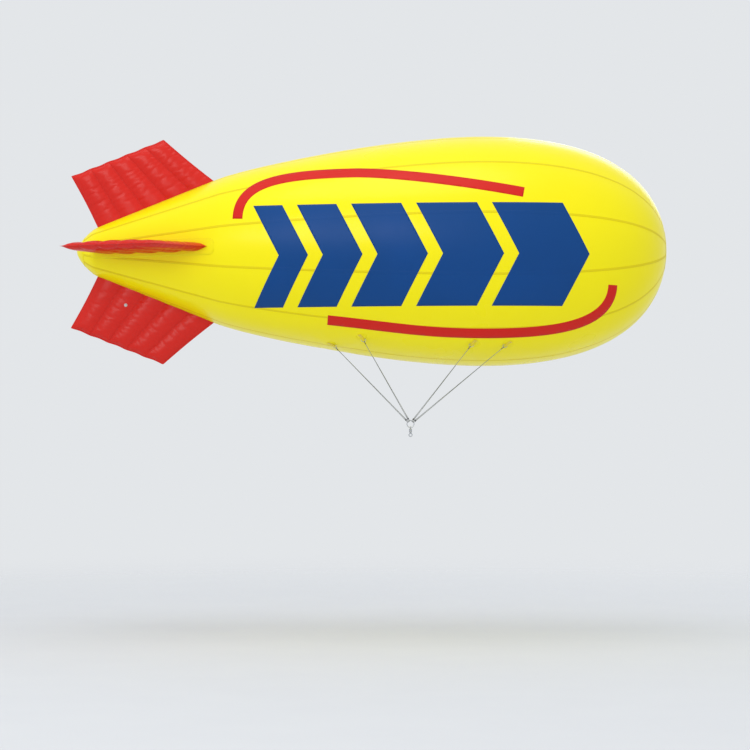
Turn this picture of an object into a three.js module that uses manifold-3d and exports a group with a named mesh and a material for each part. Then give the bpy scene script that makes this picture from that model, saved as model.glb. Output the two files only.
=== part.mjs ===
// Tethered advertising blimp balloon: a helium envelope with four inflated tail fins and a rope bridle.
// Millimetres. +X is the nose, +Y is port, +Z is up. The origin is the envelope's centre of buoyancy.
import * as THREE from 'three';
import { mergeVertices } from 'three/addons/utils/BufferGeometryUtils.js';
import Module from 'manifold-3d';

const wasm = await Module();
wasm.setup();

// Envelope: a long tail cone, a full belly and a blunt nose, 6 m from end to end.
const TAIL_X = -3535;
const NOSE_X = 2465;
const CONE_AFT = { x: -3321, r: 250 };
const CONE_FORE = { x: -2071, r: 747 };
const WIDEST = { x: 602, r: 1166 };
const TIP_FULLNESS = { along: 89, across: 64 };
const SHOULDER_FULLNESS = { cone: 240, belly: 978 };
const NOSE_FULLNESS = { along: 1660, across: 382 };
const WALL = 10;
const GORE_FACETS = 36;
const CLEARANCE = 0.3;

// Doublers, caps, stripes and painted shapes are sheets welded to the outside of the envelope.
const GRAPHIC_SHEET = 1.5;
const DOUBLER_SHEET = 2.8;
const NOSE_CAP_RADIUS = 210;
const TAIL_CAP_RADIUS = 150;

// Fins: inflated panels of five tubes, each standing on a welded skirt.
const FIN = {
  outerAft: [-3600, 777],
  outerFore: [-2653, 1150],
  rootFore: [-2122, 715],
  rootAft: [-3323, 244],
  buried: 0.35,
  tubes: 5,
  rimHalf: 2,
  bulgeHalf: 43,
  valley: 0.72,
};
const SKIRT = { aft: -3372, fore: -2068, halfWidth: 85, cornerRadius: 60 };
const FIN_TURNS = { top: 0, port: -90, bottom: 180, starboard: 90 };

// Graphics, as seen from the side: a swoosh above and one below a row of five chevrons.
// A swoosh is a band of even width about two stretches of centre line that meet at its level part.
const SWOOSHES = {
  upper: {
    width: 100,
    rise: [[-1835, 267], [-1835, 675], [-1380, 720], [-712, 720]],
    run: [[-712, 720], [-322, 720], [502, 587], [972, 498]],
  },
  lower: {
    width: 92,
    rise: [[1851, -395], [1851, -787], [1293, -865], [600, -865]],
    run: [[600, -865], [0, -865], [-353, -794], [-949, -729]],
  },
};
const CHEVRON = { aft: -1680, top: 395, bottom: -605, point: 260, gap: 145 };
const CHEVRON_WIDTHS = [290, 390, 490, 590, 690];

// Bridle: eight cords run from load patches on the belly to one steel ring.
const RING = { x: -130, z: -1756, radius: 36, bar: 4 };
const CORD_RADIUS = 2.5;
const EYE_GAP = 0.8;
const EYE_PITCH = 12.5;
// Each station has a load patch on both sides: its x, its angle out from the keel, its place on the ring.
const STATIONS = [
  { x: -922, fromKeel: 18.8, ringAngle: -49.25 },
  { x: -616, fromKeel: 32.6, ringAngle: -24.25 },
  { x: 492, fromKeel: 35.4, ringAngle: 31.45 },
  { x: 832, fromKeel: 34.3, ringAngle: 56.45 },
];
const PATCH_RADIUS = 54;
const STRAP = { width: 34, tail: 45, thickness: 2.5, barOut: 32, barHeight: 9 };
const D_RING = { bar: 2.5, halfWidth: 24, corner: 6 };

// Swivel below the ring, in which the tether's eye turns freely.
const BARREL = { radius: 15, top: -1802, bottom: -1842, bore: 6.3, lip: 8, chamber: 10.3, ceiling: -1816 };
const SPINDLE = { radius: 5.8, head: 9.8, headTop: -1818, collar: 12, collarTop: -1844, collarBottom: -1850 };
const TETHER_EYE = { outer: 21, hole: 11, halfThickness: 5, z: -1867 };

// Fill valve, low on the port side ahead of the fins.
const VALVE = { x: -1750, fromKeel: 40, neck: 29, flange: 52, flangeRise: 4, neckRise: 16, inside: 22 };
const VALVE_CAP = { radius: 36, height: 14 };

const MATERIALS = {
  yellow: new THREE.MeshStandardMaterial({ color: 0xfef403, roughness: 0.35, metalness: 0 }),
  red: new THREE.MeshStandardMaterial({ color: 0xd9261c, roughness: 0.35, metalness: 0 }),
  blue: new THREE.MeshStandardMaterial({ color: 0x024b91, roughness: 0.35, metalness: 0 }),
  cord: new THREE.MeshStandardMaterial({ color: 0x6b6e70, roughness: 0.8, metalness: 0 }),
  steel: new THREE.MeshStandardMaterial({ color: 0xb9bcc0, roughness: 0.3, metalness: 1 }),
  plastic: new THREE.MeshStandardMaterial({ color: 0xd8d8d2, roughness: 0.45, metalness: 0 }),
};

const group = new THREE.Group();
const radians = THREE.MathUtils.degToRad;
const vec = (x, y, z) => new THREE.Vector3(x, y, z);

// A closed mesh becomes a solid whose faces point outwards.
function solid(geometry) {
  const bare = geometry.clone();
  for (const name of Object.keys(bare.attributes)) {
    if (name !== 'position') bare.deleteAttribute(name);
  }
  const merged = mergeVertices(bare, 1e-3);
  const make = (triVerts) => new wasm.Manifold(
    new wasm.Mesh({ numProp: 3, vertProperties: merged.attributes.position.array, triVerts }));
  const triVerts = new Uint32Array(merged.index.array);
  const made = make(triVerts);
  return made.volume() > 0 ? made : make(triVerts.reverse());
}

function geometryOf(body) {
  const { numProp, vertProperties, triVerts } = body.getMesh();
  const positions = new Float32Array((vertProperties.length / numProp) * 3);
  for (let i = 0; i < positions.length; i += 1) {
    positions[i] = vertProperties[Math.floor(i / 3) * numProp + (i % 3)];
  }
  const geometry = new THREE.BufferGeometry();
  geometry.setAttribute('position', new THREE.BufferAttribute(positions, 3));
  geometry.setIndex(Array.from(triVerts));
  geometry.computeVertexNormals();
  return geometry;
}

function add(name, body, material) {
  const mesh = new THREE.Mesh(geometryOf(body), MATERIALS[material]);
  mesh.name = name;
  group.add(mesh);
  return mesh;
}

// Envelope

// The side line from tail tip to nose, as stretches that each give points from their start.
const bezier = (a, b, c, d) => new THREE.CubicBezierCurve(
  new THREE.Vector2(...a), new THREE.Vector2(...b), new THREE.Vector2(...c), new THREE.Vector2(...d));
const coneSlope = (CONE_FORE.r - CONE_AFT.r) / (CONE_FORE.x - CONE_AFT.x);
const tipCurve = bezier(
  [TAIL_X, 0],
  [TAIL_X, TIP_FULLNESS.across],
  [CONE_AFT.x - TIP_FULLNESS.along, CONE_AFT.r - TIP_FULLNESS.along * coneSlope],
  [CONE_AFT.x, CONE_AFT.r]);
const coneLine = new THREE.LineCurve(
  new THREE.Vector2(CONE_AFT.x, CONE_AFT.r), new THREE.Vector2(CONE_FORE.x, CONE_FORE.r));
const shoulderCurve = bezier(
  [CONE_FORE.x, CONE_FORE.r],
  [CONE_FORE.x + SHOULDER_FULLNESS.cone, CONE_FORE.r + SHOULDER_FULLNESS.cone * coneSlope],
  [WIDEST.x - SHOULDER_FULLNESS.belly, WIDEST.r],
  [WIDEST.x, WIDEST.r]);
const noseCurve = bezier(
  [WIDEST.x, WIDEST.r],
  [WIDEST.x + NOSE_FULLNESS.along, WIDEST.r],
  [NOSE_X, NOSE_FULLNESS.across],
  [NOSE_X, 0]);

// Points of the side line, moved out by an offset, with `fineness` rows on the longest stretch.
function sideLine(offset, fineness) {
  const rows = [];
  const stretches = [[tipCurve, 0.45], [coneLine, 0.35], [shoulderCurve, 0.75], [noseCurve, 1]];
  for (const [curve, share] of stretches) {
    const steps = Math.ceil(fineness * share);
    for (let i = curve === tipCurve ? 0 : 1; i <= steps; i += 1) {
      const point = curve.getPoint(i / steps);
      const tangent = curve.getTangent(i / steps);
      const onAxis = point.y < 1e-6;
      rows.push(new THREE.Vector2(
        onAxis ? 0 : point.y + tangent.x * offset,
        point.x - tangent.y * offset));
    }
  }
  return rows;
}

function hullSolid(offset, fineness = 10) {
  const lathe = new THREE.LatheGeometry(sideLine(offset, fineness), GORE_FACETS);
  return solid(lathe.rotateZ(-Math.PI / 2));
}

const hullClear = hullSolid(CLEARANCE);
const graphicSkin = hullSolid(GRAPHIC_SHEET).subtract(hullClear);
const doublerSkin = hullSolid(DOUBLER_SHEET).subtract(hullClear);

// A point of the envelope at station x, `angle` degrees out from the keel towards a side, with its normal.
function surfaceAt(x, angle, side) {
  const curve = x < CONE_FORE.x ? coneLine : x < WIDEST.x ? shoulderCurve : noseCurve;
  let low = 0;
  let high = 1;
  for (let i = 0; i < 40; i += 1) {
    const middle = (low + high) / 2;
    if (curve.getPoint(middle).x < x) low = middle;
    else high = middle;
  }
  const radius = curve.getPoint(low).y;
  const tangent = curve.getTangent(low);
  const across = side * Math.sin(radians(angle));
  const down = -Math.cos(radians(angle));
  return {
    point: vec(x, radius * across, radius * down),
    normal: vec(-tangent.y, tangent.x * across, tangent.x * down).normalize(),
  };
}

// A cylinder along `direction`, from `from` to `to` measured from `origin`.
function rod(origin, direction, radius, from, to, sides = 24) {
  const cylinder = new THREE.CylinderGeometry(radius, radius, to - from, sides);
  cylinder.translate(0, (from + to) / 2, 0);
  const turn = new THREE.Quaternion().setFromUnitVectors(vec(0, 1, 0), direction);
  cylinder.applyQuaternion(turn).translate(origin.x, origin.y, origin.z);
  return solid(cylinder);
}

const valveSeat = surfaceAt(VALVE.x, VALVE.fromKeel, 1);
const valveHole = rod(valveSeat.point, valveSeat.normal, VALVE.neck + CLEARANCE, -4 * WALL, 4 * WALL);
add('envelope', hullSolid(0).subtract(hullSolid(-WALL, 6)).subtract(valveHole), 'yellow');

const noseRod = rod(vec(0, 0, 0), vec(1, 0, 0), NOSE_CAP_RADIUS, WIDEST.x, NOSE_X + WALL, GORE_FACETS);
add('nose_cap', doublerSkin.intersect(noseRod), 'yellow');
const tailRod = rod(vec(0, 0, 0), vec(-1, 0, 0), TAIL_CAP_RADIUS, -CONE_FORE.x, WALL - TAIL_X, GORE_FACETS);
add('tail_cap', doublerSkin.intersect(tailRod), 'yellow');

// Fill valve

const valveFlange = rod(valveSeat.point, valveSeat.normal, VALVE.flange, -WALL, VALVE.flangeRise)
  .subtract(hullClear);
const valveNeck = rod(valveSeat.point, valveSeat.normal, VALVE.neck, -VALVE.inside, VALVE.neckRise);
add('fill_valve', valveFlange.add(valveNeck), 'plastic');
const capFoot = VALVE.neckRise + CLEARANCE;
add('fill_valve_cap',
  rod(valveSeat.point, valveSeat.normal, VALVE_CAP.radius, capFoot, capFoot + VALVE_CAP.height),
  'plastic');

// Fins

// Two sheets over one four-cornered outline, joined at the rim and blown apart into tubes.
function inflatedPanel(outline, half, columns, rows) {
  const count = (columns + 1) * (rows.length);
  const positions = [];
  for (const side of [1, -1]) {
    for (const v of rows) {
      for (let i = 0; i <= columns; i += 1) {
        const [x, z] = outline(i / columns, v);
        positions.push(x, side * half(i / columns, v), z);
      }
    }
  }
  const at = (sheet, i, j) => sheet * count + j * (columns + 1) + i;
  const index = [];
  const quad = (a, b, c, d) => index.push(a, b, c, a, c, d);
  const last = rows.length - 1;
  for (let j = 0; j < last; j += 1) {
    for (let i = 0; i < columns; i += 1) {
      quad(at(0, i, j), at(0, i, j + 1), at(0, i + 1, j + 1), at(0, i + 1, j));
      quad(at(1, i, j), at(1, i + 1, j), at(1, i + 1, j + 1), at(1, i, j + 1));
    }
    quad(at(0, 0, j), at(1, 0, j), at(1, 0, j + 1), at(0, 0, j + 1));
    quad(at(0, columns, j), at(0, columns, j + 1), at(1, columns, j + 1), at(1, columns, j));
  }
  for (let i = 0; i < columns; i += 1) {
    quad(at(0, i, 0), at(0, i + 1, 0), at(1, i + 1, 0), at(1, i, 0));
    quad(at(0, i, last), at(1, i, last), at(1, i + 1, last), at(0, i + 1, last));
  }
  const geometry = new THREE.BufferGeometry();
  geometry.setAttribute('position', new THREE.BufferAttribute(new Float32Array(positions), 3));
  geometry.setIndex(index);
  return geometry;
}

const mix = (a, b, t) => a.map((value, i) => value + (b[i] - value) * t);
const innerFore = mix(FIN.rootFore, FIN.outerFore, -FIN.buried);
const innerAft = mix(FIN.rootAft, FIN.outerAft, -FIN.buried);
const finOutline = (u, v) => mix(
  mix(innerAft, innerFore, u), mix(FIN.outerAft, FIN.outerFore, u), v);

function finHalf(u, v) {
  const inTube = (u * FIN.tubes) % 1;
  const tube = Math.sqrt(Math.max(0, 1 - (2 * inTube - 1) ** 2));
  const chord = Math.sqrt(Math.max(0, 1 - (2 * u - 1) ** 4));
  const tipStart = 0.85;
  const tip = v < tipStart ? 1 : Math.sqrt(Math.max(0, 1 - ((v - tipStart) / (1 - tipStart)) ** 2));
  return FIN.rimHalf + FIN.bulgeHalf * chord * tip * (FIN.valley + (1 - FIN.valley) * tube);
}

// An outline with round corners between the given limits.
function roundedRectangle(left, right, bottom, top, radius) {
  const shape = new THREE.Shape();
  shape.absarc(right - radius, top - radius, radius, 0, Math.PI / 2);
  shape.absarc(left + radius, top - radius, radius, Math.PI / 2, Math.PI);
  shape.absarc(left + radius, bottom + radius, radius, Math.PI, Math.PI * 1.5);
  shape.absarc(right - radius, bottom + radius, radius, Math.PI * 1.5, Math.PI * 2);
  return shape;
}

const finRows = [0, 0.85, 0.93, 0.98, 1];
const finPanel = solid(inflatedPanel(finOutline, finHalf, FIN.tubes * 4, finRows)).subtract(hullClear);
const skirtShape = roundedRectangle(
  SKIRT.aft, SKIRT.fore, -SKIRT.halfWidth, SKIRT.halfWidth, SKIRT.cornerRadius);
const skirtColumn = new THREE.ExtrudeGeometry(
  skirtShape, { depth: WIDEST.r, bevelEnabled: false, curveSegments: 3 });
const finSkirt = doublerSkin.intersect(solid(skirtColumn));
const fin = finPanel.add(finSkirt);
for (const [place, turn] of Object.entries(FIN_TURNS)) {
  add(`fin_${place}`, fin, 'red').rotation.x = radians(turn);
}

// Graphics

const SIDES = { starboard: -1, port: 1 };

// The part of a skin that lies behind a shape drawn on the side view.
function onSide(skin, shape, side) {
  const depth = WIDEST.r + WALL;
  const column = new THREE.ExtrudeGeometry(shape, { depth, bevelEnabled: false });
  column.rotateX(Math.PI / 2);
  if (side > 0) column.translate(0, depth, 0);
  return skin.intersect(solid(column));
}

function swooshShape({ width, rise, run }) {
  const steps = 7;
  const left = [];
  const right = [];
  for (const line of [bezier(...rise), bezier(...run)]) {
    for (let i = left.length ? 1 : 0; i <= steps; i += 1) {
      const point = line.getPoint(i / steps);
      const tangent = line.getTangent(i / steps);
      const across = new THREE.Vector2(-tangent.y, tangent.x).multiplyScalar(width / 2);
      left.push(point.clone().add(across));
      right.unshift(point.clone().sub(across));
    }
  }
  return new THREE.Shape([...left, ...right]);
}

function chevronShape(aft, width) {
  const middle = (CHEVRON.top + CHEVRON.bottom) / 2;
  return new THREE.Shape([
    new THREE.Vector2(aft, CHEVRON.bottom),
    new THREE.Vector2(aft + width, CHEVRON.bottom),
    new THREE.Vector2(aft + width + CHEVRON.point, middle),
    new THREE.Vector2(aft + width, CHEVRON.top),
    new THREE.Vector2(aft, CHEVRON.top),
    new THREE.Vector2(aft + CHEVRON.point, middle),
  ]);
}

for (const [name, side] of Object.entries(SIDES)) {
  for (const [place, swoosh] of Object.entries(SWOOSHES)) {
    add(`stripe_${place}_${name}`, onSide(graphicSkin, swooshShape(swoosh), side), 'red');
  }
  let aft = CHEVRON.aft;
  CHEVRON_WIDTHS.forEach((width, i) => {
    add(`chevron_${name}_${i + 1}`, onSide(graphicSkin, chevronShape(aft, width), side), 'blue');
    aft += width + CHEVRON.gap;
  });
}

// Bridle

// A round bar bent along a closed flat path, given in the path's own plane.
function bentBar(path, barRadius, sides) {
  const positions = [];
  path.forEach((point, i) => {
    const before = path[(i + path.length - 1) % path.length];
    const after = path[(i + 1) % path.length];
    const along = after.clone().sub(before).normalize();
    const out = new THREE.Vector2(along.y, -along.x);
    for (let k = 0; k < sides; k += 1) {
      const angle = (2 * Math.PI * k) / sides;
      const reach = barRadius * Math.cos(angle);
      positions.push(point.x + out.x * reach, point.y + out.y * reach, barRadius * Math.sin(angle));
    }
  });
  const index = [];
  for (let i = 0; i < path.length; i += 1) {
    for (let k = 0; k < sides; k += 1) {
      const next = ((i + 1) % path.length) * sides;
      const a = i * sides + k;
      const b = i * sides + ((k + 1) % sides);
      const c = next + ((k + 1) % sides);
      const d = next + k;
      index.push(a, b, c, a, c, d);
    }
  }
  const geometry = new THREE.BufferGeometry();
  geometry.setAttribute('position', new THREE.BufferAttribute(new Float32Array(positions), 3));
  geometry.setIndex(index);
  return geometry;
}

// A matrix that takes local x, y, z to three directions at a place.
const placed = (x, y, z, origin) => new THREE.Matrix4().makeBasis(x, y, z).setPosition(origin);

// A ring of round bar about `axis`.
function eye(centre, axis, radius, barRadius, sides = 6, steps = 10) {
  const torus = new THREE.TorusGeometry(radius, barRadius, sides, steps);
  const turn = new THREE.Quaternion().setFromUnitVectors(vec(0, 0, 1), axis);
  return solid(torus.applyQuaternion(turn).translate(centre.x, centre.y, centre.z));
}

// The D-ring's path: a straight bar on local y and a half-round bow reaching along local x.
function dRingPath() {
  const { halfWidth, corner } = D_RING;
  const points = [];
  const arc = (y, radius, from, to, steps) => {
    for (let i = 0; i < steps; i += 1) {
      const angle = radians(from + ((to - from) * i) / (steps - 1));
      points.push(new THREE.Vector2(corner + radius * Math.cos(angle), y + radius * Math.sin(angle)));
    }
  };
  arc(-(halfWidth - corner), corner, 180, 225, 2);
  arc(0, halfWidth, -90, 90, 7);
  arc(halfWidth - corner, corner, 135, 180, 2);
  return points;
}

// Webbing that runs along the patch, round the D-ring's bar and back: x along the pull, y outwards.
function strapShape() {
  const { tail, thickness, barOut, barHeight } = STRAP;
  const inner = D_RING.bar + CLEARANCE;
  const outer = inner + thickness;
  const shape = new THREE.Shape();
  shape.moveTo(-tail, -WALL);
  shape.lineTo(-tail, DOUBLER_SHEET + thickness);
  shape.lineTo(0, DOUBLER_SHEET + 2 * thickness);
  shape.lineTo(barOut - outer / 2, barHeight + outer * 0.9);
  shape.absarc(barOut, barHeight, outer, radians(100), radians(-90), true);
  shape.lineTo(barOut / 2, DOUBLER_SHEET);
  shape.lineTo(barOut / 2, -WALL);
  shape.closePath();
  const hole = new THREE.Path();
  hole.absarc(barOut, barHeight, inner + 0.1, 0, Math.PI * 2, false);
  shape.holes.push(hole);
  return shape;
}

const bowReach = D_RING.corner + D_RING.halfWidth;
const upperEyeRadius = D_RING.bar + CORD_RADIUS + EYE_GAP;
const lowerEyeRadius = RING.bar + CORD_RADIUS + EYE_GAP;
const strapSolid = new THREE.ExtrudeGeometry(
  strapShape(), { depth: STRAP.width, bevelEnabled: false, curveSegments: 4 });
strapSolid.translate(0, 0, -STRAP.width / 2).rotateX(Math.PI / 2);

function bridleLeg(name, station, side) {
  const seat = surfaceAt(station.x, station.fromKeel, side);
  const onRing = radians(station.ringAngle + (side * EYE_PITCH) / 2);
  const outward = vec(Math.sin(onRing), 0, Math.cos(onRing));
  const ringTangent = vec(Math.cos(onRing), 0, -Math.sin(onRing));
  const onBar = vec(RING.x, 0, RING.z).addScaledVector(outward, RING.radius);

  // The cord leaves its lower eye towards the patch, in the plane of that eye.
  const rise = seat.point.clone().sub(onBar);
  const inEyePlane = rise.clone().addScaledVector(ringTangent, -rise.dot(ringTangent)).normalize();
  const foot = onBar.clone().addScaledVector(inEyePlane, lowerEyeRadius);

  const pull = foot.clone().sub(seat.point);
  const along = pull.clone().addScaledVector(seat.normal, -pull.dot(seat.normal)).normalize();
  const across = seat.normal.clone().cross(along);
  const local = placed(along, across, seat.normal, seat.point);
  const barCentre = vec(STRAP.barOut, 0, STRAP.barHeight).applyMatrix4(local);

  const strap = solid(strapSolid.clone().applyMatrix4(local)).subtract(hullClear);
  const disc = doublerSkin.intersect(rod(seat.point, seat.normal, PATCH_RADIUS, -3 * WALL, 3 * WALL, 16));
  add(`load_patch_${name}`, disc.add(strap), 'yellow');

  const line = foot.clone().sub(barCentre).normalize();
  const lift = line.clone().cross(across).normalize();
  const bow = bentBar(dRingPath(), D_RING.bar, 6);
  bow.applyMatrix4(placed(line, across, lift, barCentre));
  add(`d_ring_${name}`, solid(bow), 'steel');

  const bowEnd = barCentre.clone().addScaledVector(line, bowReach);
  const head = bowEnd.clone().addScaledVector(line, upperEyeRadius);
  const cord = rod(head, line, CORD_RADIUS, 0, head.distanceTo(foot), 6)
    .add(eye(bowEnd, across, upperEyeRadius, CORD_RADIUS))
    .add(eye(onBar, ringTangent, lowerEyeRadius, CORD_RADIUS));
  add(`bridle_leg_${name}`, cord, 'cord');
}

for (const [name, side] of Object.entries(SIDES)) {
  STATIONS.forEach((station, i) => bridleLeg(`${name}_${i + 1}`, station, side));
}

const ringCentre = vec(RING.x, 0, RING.z);
add('bridle_ring', eye(ringCentre, vec(0, 1, 0), RING.radius, RING.bar, 8, 30), 'steel');

// Swivel

// A turned piece on the swivel's upright axis, from radius and height pairs.
function turned(profile, sides = 20) {
  const points = profile.map(([radius, z]) => new THREE.Vector2(radius, z));
  return solid(new THREE.LatheGeometry(points, sides).rotateX(Math.PI / 2).translate(RING.x, 0, 0));
}

const lipTop = BARREL.bottom + BARREL.lip;
const barrel = turned([
  [0, BARREL.ceiling], [BARREL.chamber, BARREL.ceiling], [BARREL.chamber, lipTop], [BARREL.bore, lipTop],
  [BARREL.bore, BARREL.bottom], [BARREL.radius, BARREL.bottom], [BARREL.radius, BARREL.top], [0, BARREL.top],
]);
const bowCentre = ringCentre.clone().add(vec(0, 0, -RING.radius));
const barrelBow = eye(bowCentre, vec(1, 0, 0), 2 * RING.bar + EYE_GAP, RING.bar, 8);
add('swivel_barrel', barrel.add(barrelBow), 'steel');

const headFoot = lipTop + CLEARANCE;
const spindle = turned([
  [0, SPINDLE.collarBottom], [SPINDLE.collar, SPINDLE.collarBottom], [SPINDLE.collar, SPINDLE.collarTop],
  [SPINDLE.radius, SPINDLE.collarTop], [SPINDLE.radius, headFoot], [SPINDLE.head, headFoot],
  [SPINDLE.head, SPINDLE.headTop], [0, SPINDLE.headTop],
]);

// The tether's eye is a flat plate with a round hole and a flat at its foot.
function eyePlate() {
  const sides = 16;
  const ringOf = (apothem) => Array.from({ length: sides }, (_, i) => {
    const angle = (2 * Math.PI * (i + 0.5)) / sides;
    const reach = apothem / Math.cos(Math.PI / sides);
    return new THREE.Vector2(reach * Math.cos(angle), reach * Math.sin(angle));
  });
  const shape = new THREE.Shape(ringOf(TETHER_EYE.outer));
  shape.holes.push(new THREE.Path(ringOf(TETHER_EYE.hole)));
  const plate = new THREE.ExtrudeGeometry(
    shape, { depth: 2 * TETHER_EYE.halfThickness, bevelEnabled: false });
  plate.translate(0, 0, -TETHER_EYE.halfThickness).rotateX(Math.PI / 2);
  return solid(plate.translate(RING.x, 0, TETHER_EYE.z));
}

add('swivel_eye', spindle.add(eyePlate()), 'steel');

export default group;
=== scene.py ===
# %% [markdown]
# An advertising blimp balloon, dressed around its CAD model.
# The CAD file holds every piece at its real size. This lesson loads that model as a fixed frame and
# lays finer surfaces over it: welded film, printed shapes, webbing, cord and steel.
# Everything is in metres: +X is the nose, +Y is port, +Z is up, and the origin is the centre of lift.

# %% Load the frame
import math
from functools import partial
from types import SimpleNamespace

import bmesh
import bpy
import numpy as np
from mathutils import Matrix, Vector
from mathutils.bvhtree import BVHTree


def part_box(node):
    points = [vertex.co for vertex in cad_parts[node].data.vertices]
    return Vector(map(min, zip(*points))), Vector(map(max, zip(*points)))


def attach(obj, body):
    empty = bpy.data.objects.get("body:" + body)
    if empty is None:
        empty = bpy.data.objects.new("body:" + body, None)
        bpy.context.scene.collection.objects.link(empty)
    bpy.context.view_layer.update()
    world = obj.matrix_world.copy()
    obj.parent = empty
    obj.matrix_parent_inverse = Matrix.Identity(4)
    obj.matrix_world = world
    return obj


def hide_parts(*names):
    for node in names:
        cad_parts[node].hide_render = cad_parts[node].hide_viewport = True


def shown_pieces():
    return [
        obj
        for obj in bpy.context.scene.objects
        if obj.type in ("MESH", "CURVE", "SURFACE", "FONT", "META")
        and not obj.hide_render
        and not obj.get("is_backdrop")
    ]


MM = 0.001
EAST, NORTH, UP = Vector((1, 0, 0)), Vector((0, 1, 0)), Vector((0, 0, 1))
FLAT = np.eye(2)  # the two directions of a flat outline
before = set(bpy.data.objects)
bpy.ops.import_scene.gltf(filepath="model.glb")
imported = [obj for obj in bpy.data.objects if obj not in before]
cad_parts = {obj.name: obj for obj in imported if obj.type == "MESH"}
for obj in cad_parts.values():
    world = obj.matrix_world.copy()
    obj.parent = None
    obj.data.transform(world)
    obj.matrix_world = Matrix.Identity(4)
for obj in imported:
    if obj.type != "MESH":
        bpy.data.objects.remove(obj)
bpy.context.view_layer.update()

# %% [markdown]
# The camera comes first. The viewer stands a good way off the starboard side, at the height of the
# bridle ring, and looks slightly up with a long lens. So the far bridle legs hide behind the near ones.
# The size of a pixel at the balloon's long axis, together with the distance, gives the lens.

# %% Camera
PICTURE_SIDE, RING_PIXEL = 750, (410.5, 424.0)
METRES_PER_PIXEL, CAMERA_DISTANCE, SENSOR = 0.01018, 22.4, 36.0


def placed(name, data):
    obj = bpy.data.objects.new(name, data)
    bpy.context.scene.collection.objects.link(obj)
    return obj


def aimed(obj, place, target):
    obj.location = place
    obj.rotation_mode = "QUATERNION"
    obj.rotation_quaternion = (Vector(target) - Vector(place)).to_track_quat("-Z", "Y")


ring_centre = sum(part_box("bridle_ring"), Vector()) / 2
lens = bpy.data.cameras.new("long_lens")
lens.sensor_width, lens.clip_end = SENSOR, 500
lens.lens = SENSOR * CAMERA_DISTANCE / METRES_PER_PIXEL / PICTURE_SIDE
bpy.context.scene.camera = placed("long_lens", lens)
aim = ring_centre + METRES_PER_PIXEL * Vector((
    PICTURE_SIDE / 2 - RING_PIXEL[0], 0, RING_PIXEL[1] - PICTURE_SIDE / 2))
aimed(bpy.context.scene.camera, ring_centre - NORTH * CAMERA_DISTANCE, aim)
print("lens:", round(lens.lens, 1), "mm, aimed at", [round(v, 3) for v in aim])

# %% [markdown]
# Materials and Geometry Nodes are both trees of nodes. One small function adds a node to either kind,
# sets its options and wires its inputs. Another turns the sRGB hex colours of a paint chart into
# linear light.

# %% Helpers for node trees
def linear(colour):
    channels = [int(colour[i:i + 2], 16) / 255 for i in (1, 3, 5)]
    return [c / 12.92 if c <= 0.04045 else ((c + 0.055) / 1.055) ** 2.4 for c in channels] + [1.0]


def wire(socket, value):
    """Feeds an input with a plain value, a socket, or the first output of a node."""
    if isinstance(value, bpy.types.Node):
        value = next(s for s in value.outputs if s.enabled)
    if isinstance(value, bpy.types.NodeSocket):
        socket.id_data.links.new(value, socket)
    elif value is not None:
        socket.default_value = value


SIGNS = {"+": "ADD", "-": "SUBTRACT", "*": "MULTIPLY", "/": "DIVIDE"}
FAMILIES = ("GeometryNode", "ShaderNode", "FunctionNode", "")


def add(tree, kind, *wires, **named):
    """Adds a node to a tree. A sign, or a kind in capitals, is the operation of a Math node.

    Wires feed its inputs in order. A name with a capital is an input, with _ for a blank. Any other
    name is a setting.
    """
    if kind in SIGNS or kind.isupper():
        kind, named["operation"] = "Math", SIGNS.get(kind, kind)
    kind = next(family + kind for family in FAMILIES if hasattr(bpy.types, family + kind))
    node = tree.nodes.new(kind)
    for key in [key for key in named if key.islower()]:
        setattr(node, key, named.pop(key))
    for socket, value in zip([s for s in node.inputs if s.enabled], wires):
        wire(socket, value)
    for key, value in named.items():
        wire(node.inputs[key.replace("_", " ")], value)
    return node


# %% [markdown]
# The hull is twelve gores of film, and the welds between them matter to shape and finish alike. So the
# angle round the long axis, counted in gores from a weld, is worked out in one place for both kinds of
# tree. It gives the number of the nearest weld and the distance to it, and those give a noise in long
# folds that start at the welds.

# %% Where the welds are
GORES = 12
GORE_TURN = math.tau / GORES
FIRST_SEAM = GORE_TURN / 2


def weld_field(node, place):
    """Where a position is in its gore, how wide that is, and the nearest weld's number and distance."""
    x, y, z = node("SeparateXYZ", place).outputs
    gore = node("/", node("-", node("ARCTAN2", y, z), FIRST_SEAM), GORE_TURN)
    share = node("FRACT", gore)
    radius = node("SQRT", node("+", node("*", y, y), node("*", z, z)))
    width = node("*", radius, GORE_TURN)
    off_weld = node("*", node("MINIMUM", share, node("-", 1.0, share)), width)
    return SimpleNamespace(x=x, gore=gore, share=share, radius=radius, width=width,
                           off_weld=off_weld, number=node("FLOOR", node("+", gore, 0.5)))


def folds(node, weld, pitch, length, apart):
    """A noise whose folds lie side by side along a weld. Apart keeps the welds from looking alike."""
    spot = node("CombineXYZ", node("/", weld.x, pitch), node("/", weld.off_weld, length),
                node("*", weld.number, apart))
    return node("TexNoise", spot, 1.0, 1.0)


print("welds:", GORES, "every", round(math.degrees(GORE_TURN)), "degrees")

# %% [markdown]
# Inflatable film is a calendered plastic sheet: smooth, glossy, but never flat. The rollers leave a
# faint orange peel, and the sheet ripples where it was pulled taut. Its gloss drifts a little with
# handling. Each of these is one noise whose size comes from a real length.
# Where two sheets are joined, a heated bar has pressed them. That band is duller and carries the bar's
# fine knurl. Pieces that need it carry an `edge` attribute: the distance to their own cut edge.

# %% Film
FILM_ORANGE_PEEL, FILM_RIPPLE, FILM_BLOTCH = 7 * MM, 170 * MM, 900 * MM
CREASE_PITCH, CREASE_LENGTH, CREASE_REACH = 34 * MM, 160 * MM, 55 * MM
CREASE_APART = 5.7
PRESSED_BAND, PRESSED_DULLER = 12 * MM, 0.16
KNURL_PITCH = 6 * MM  # a real bar has 2 mm, too fine for the picture


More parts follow.
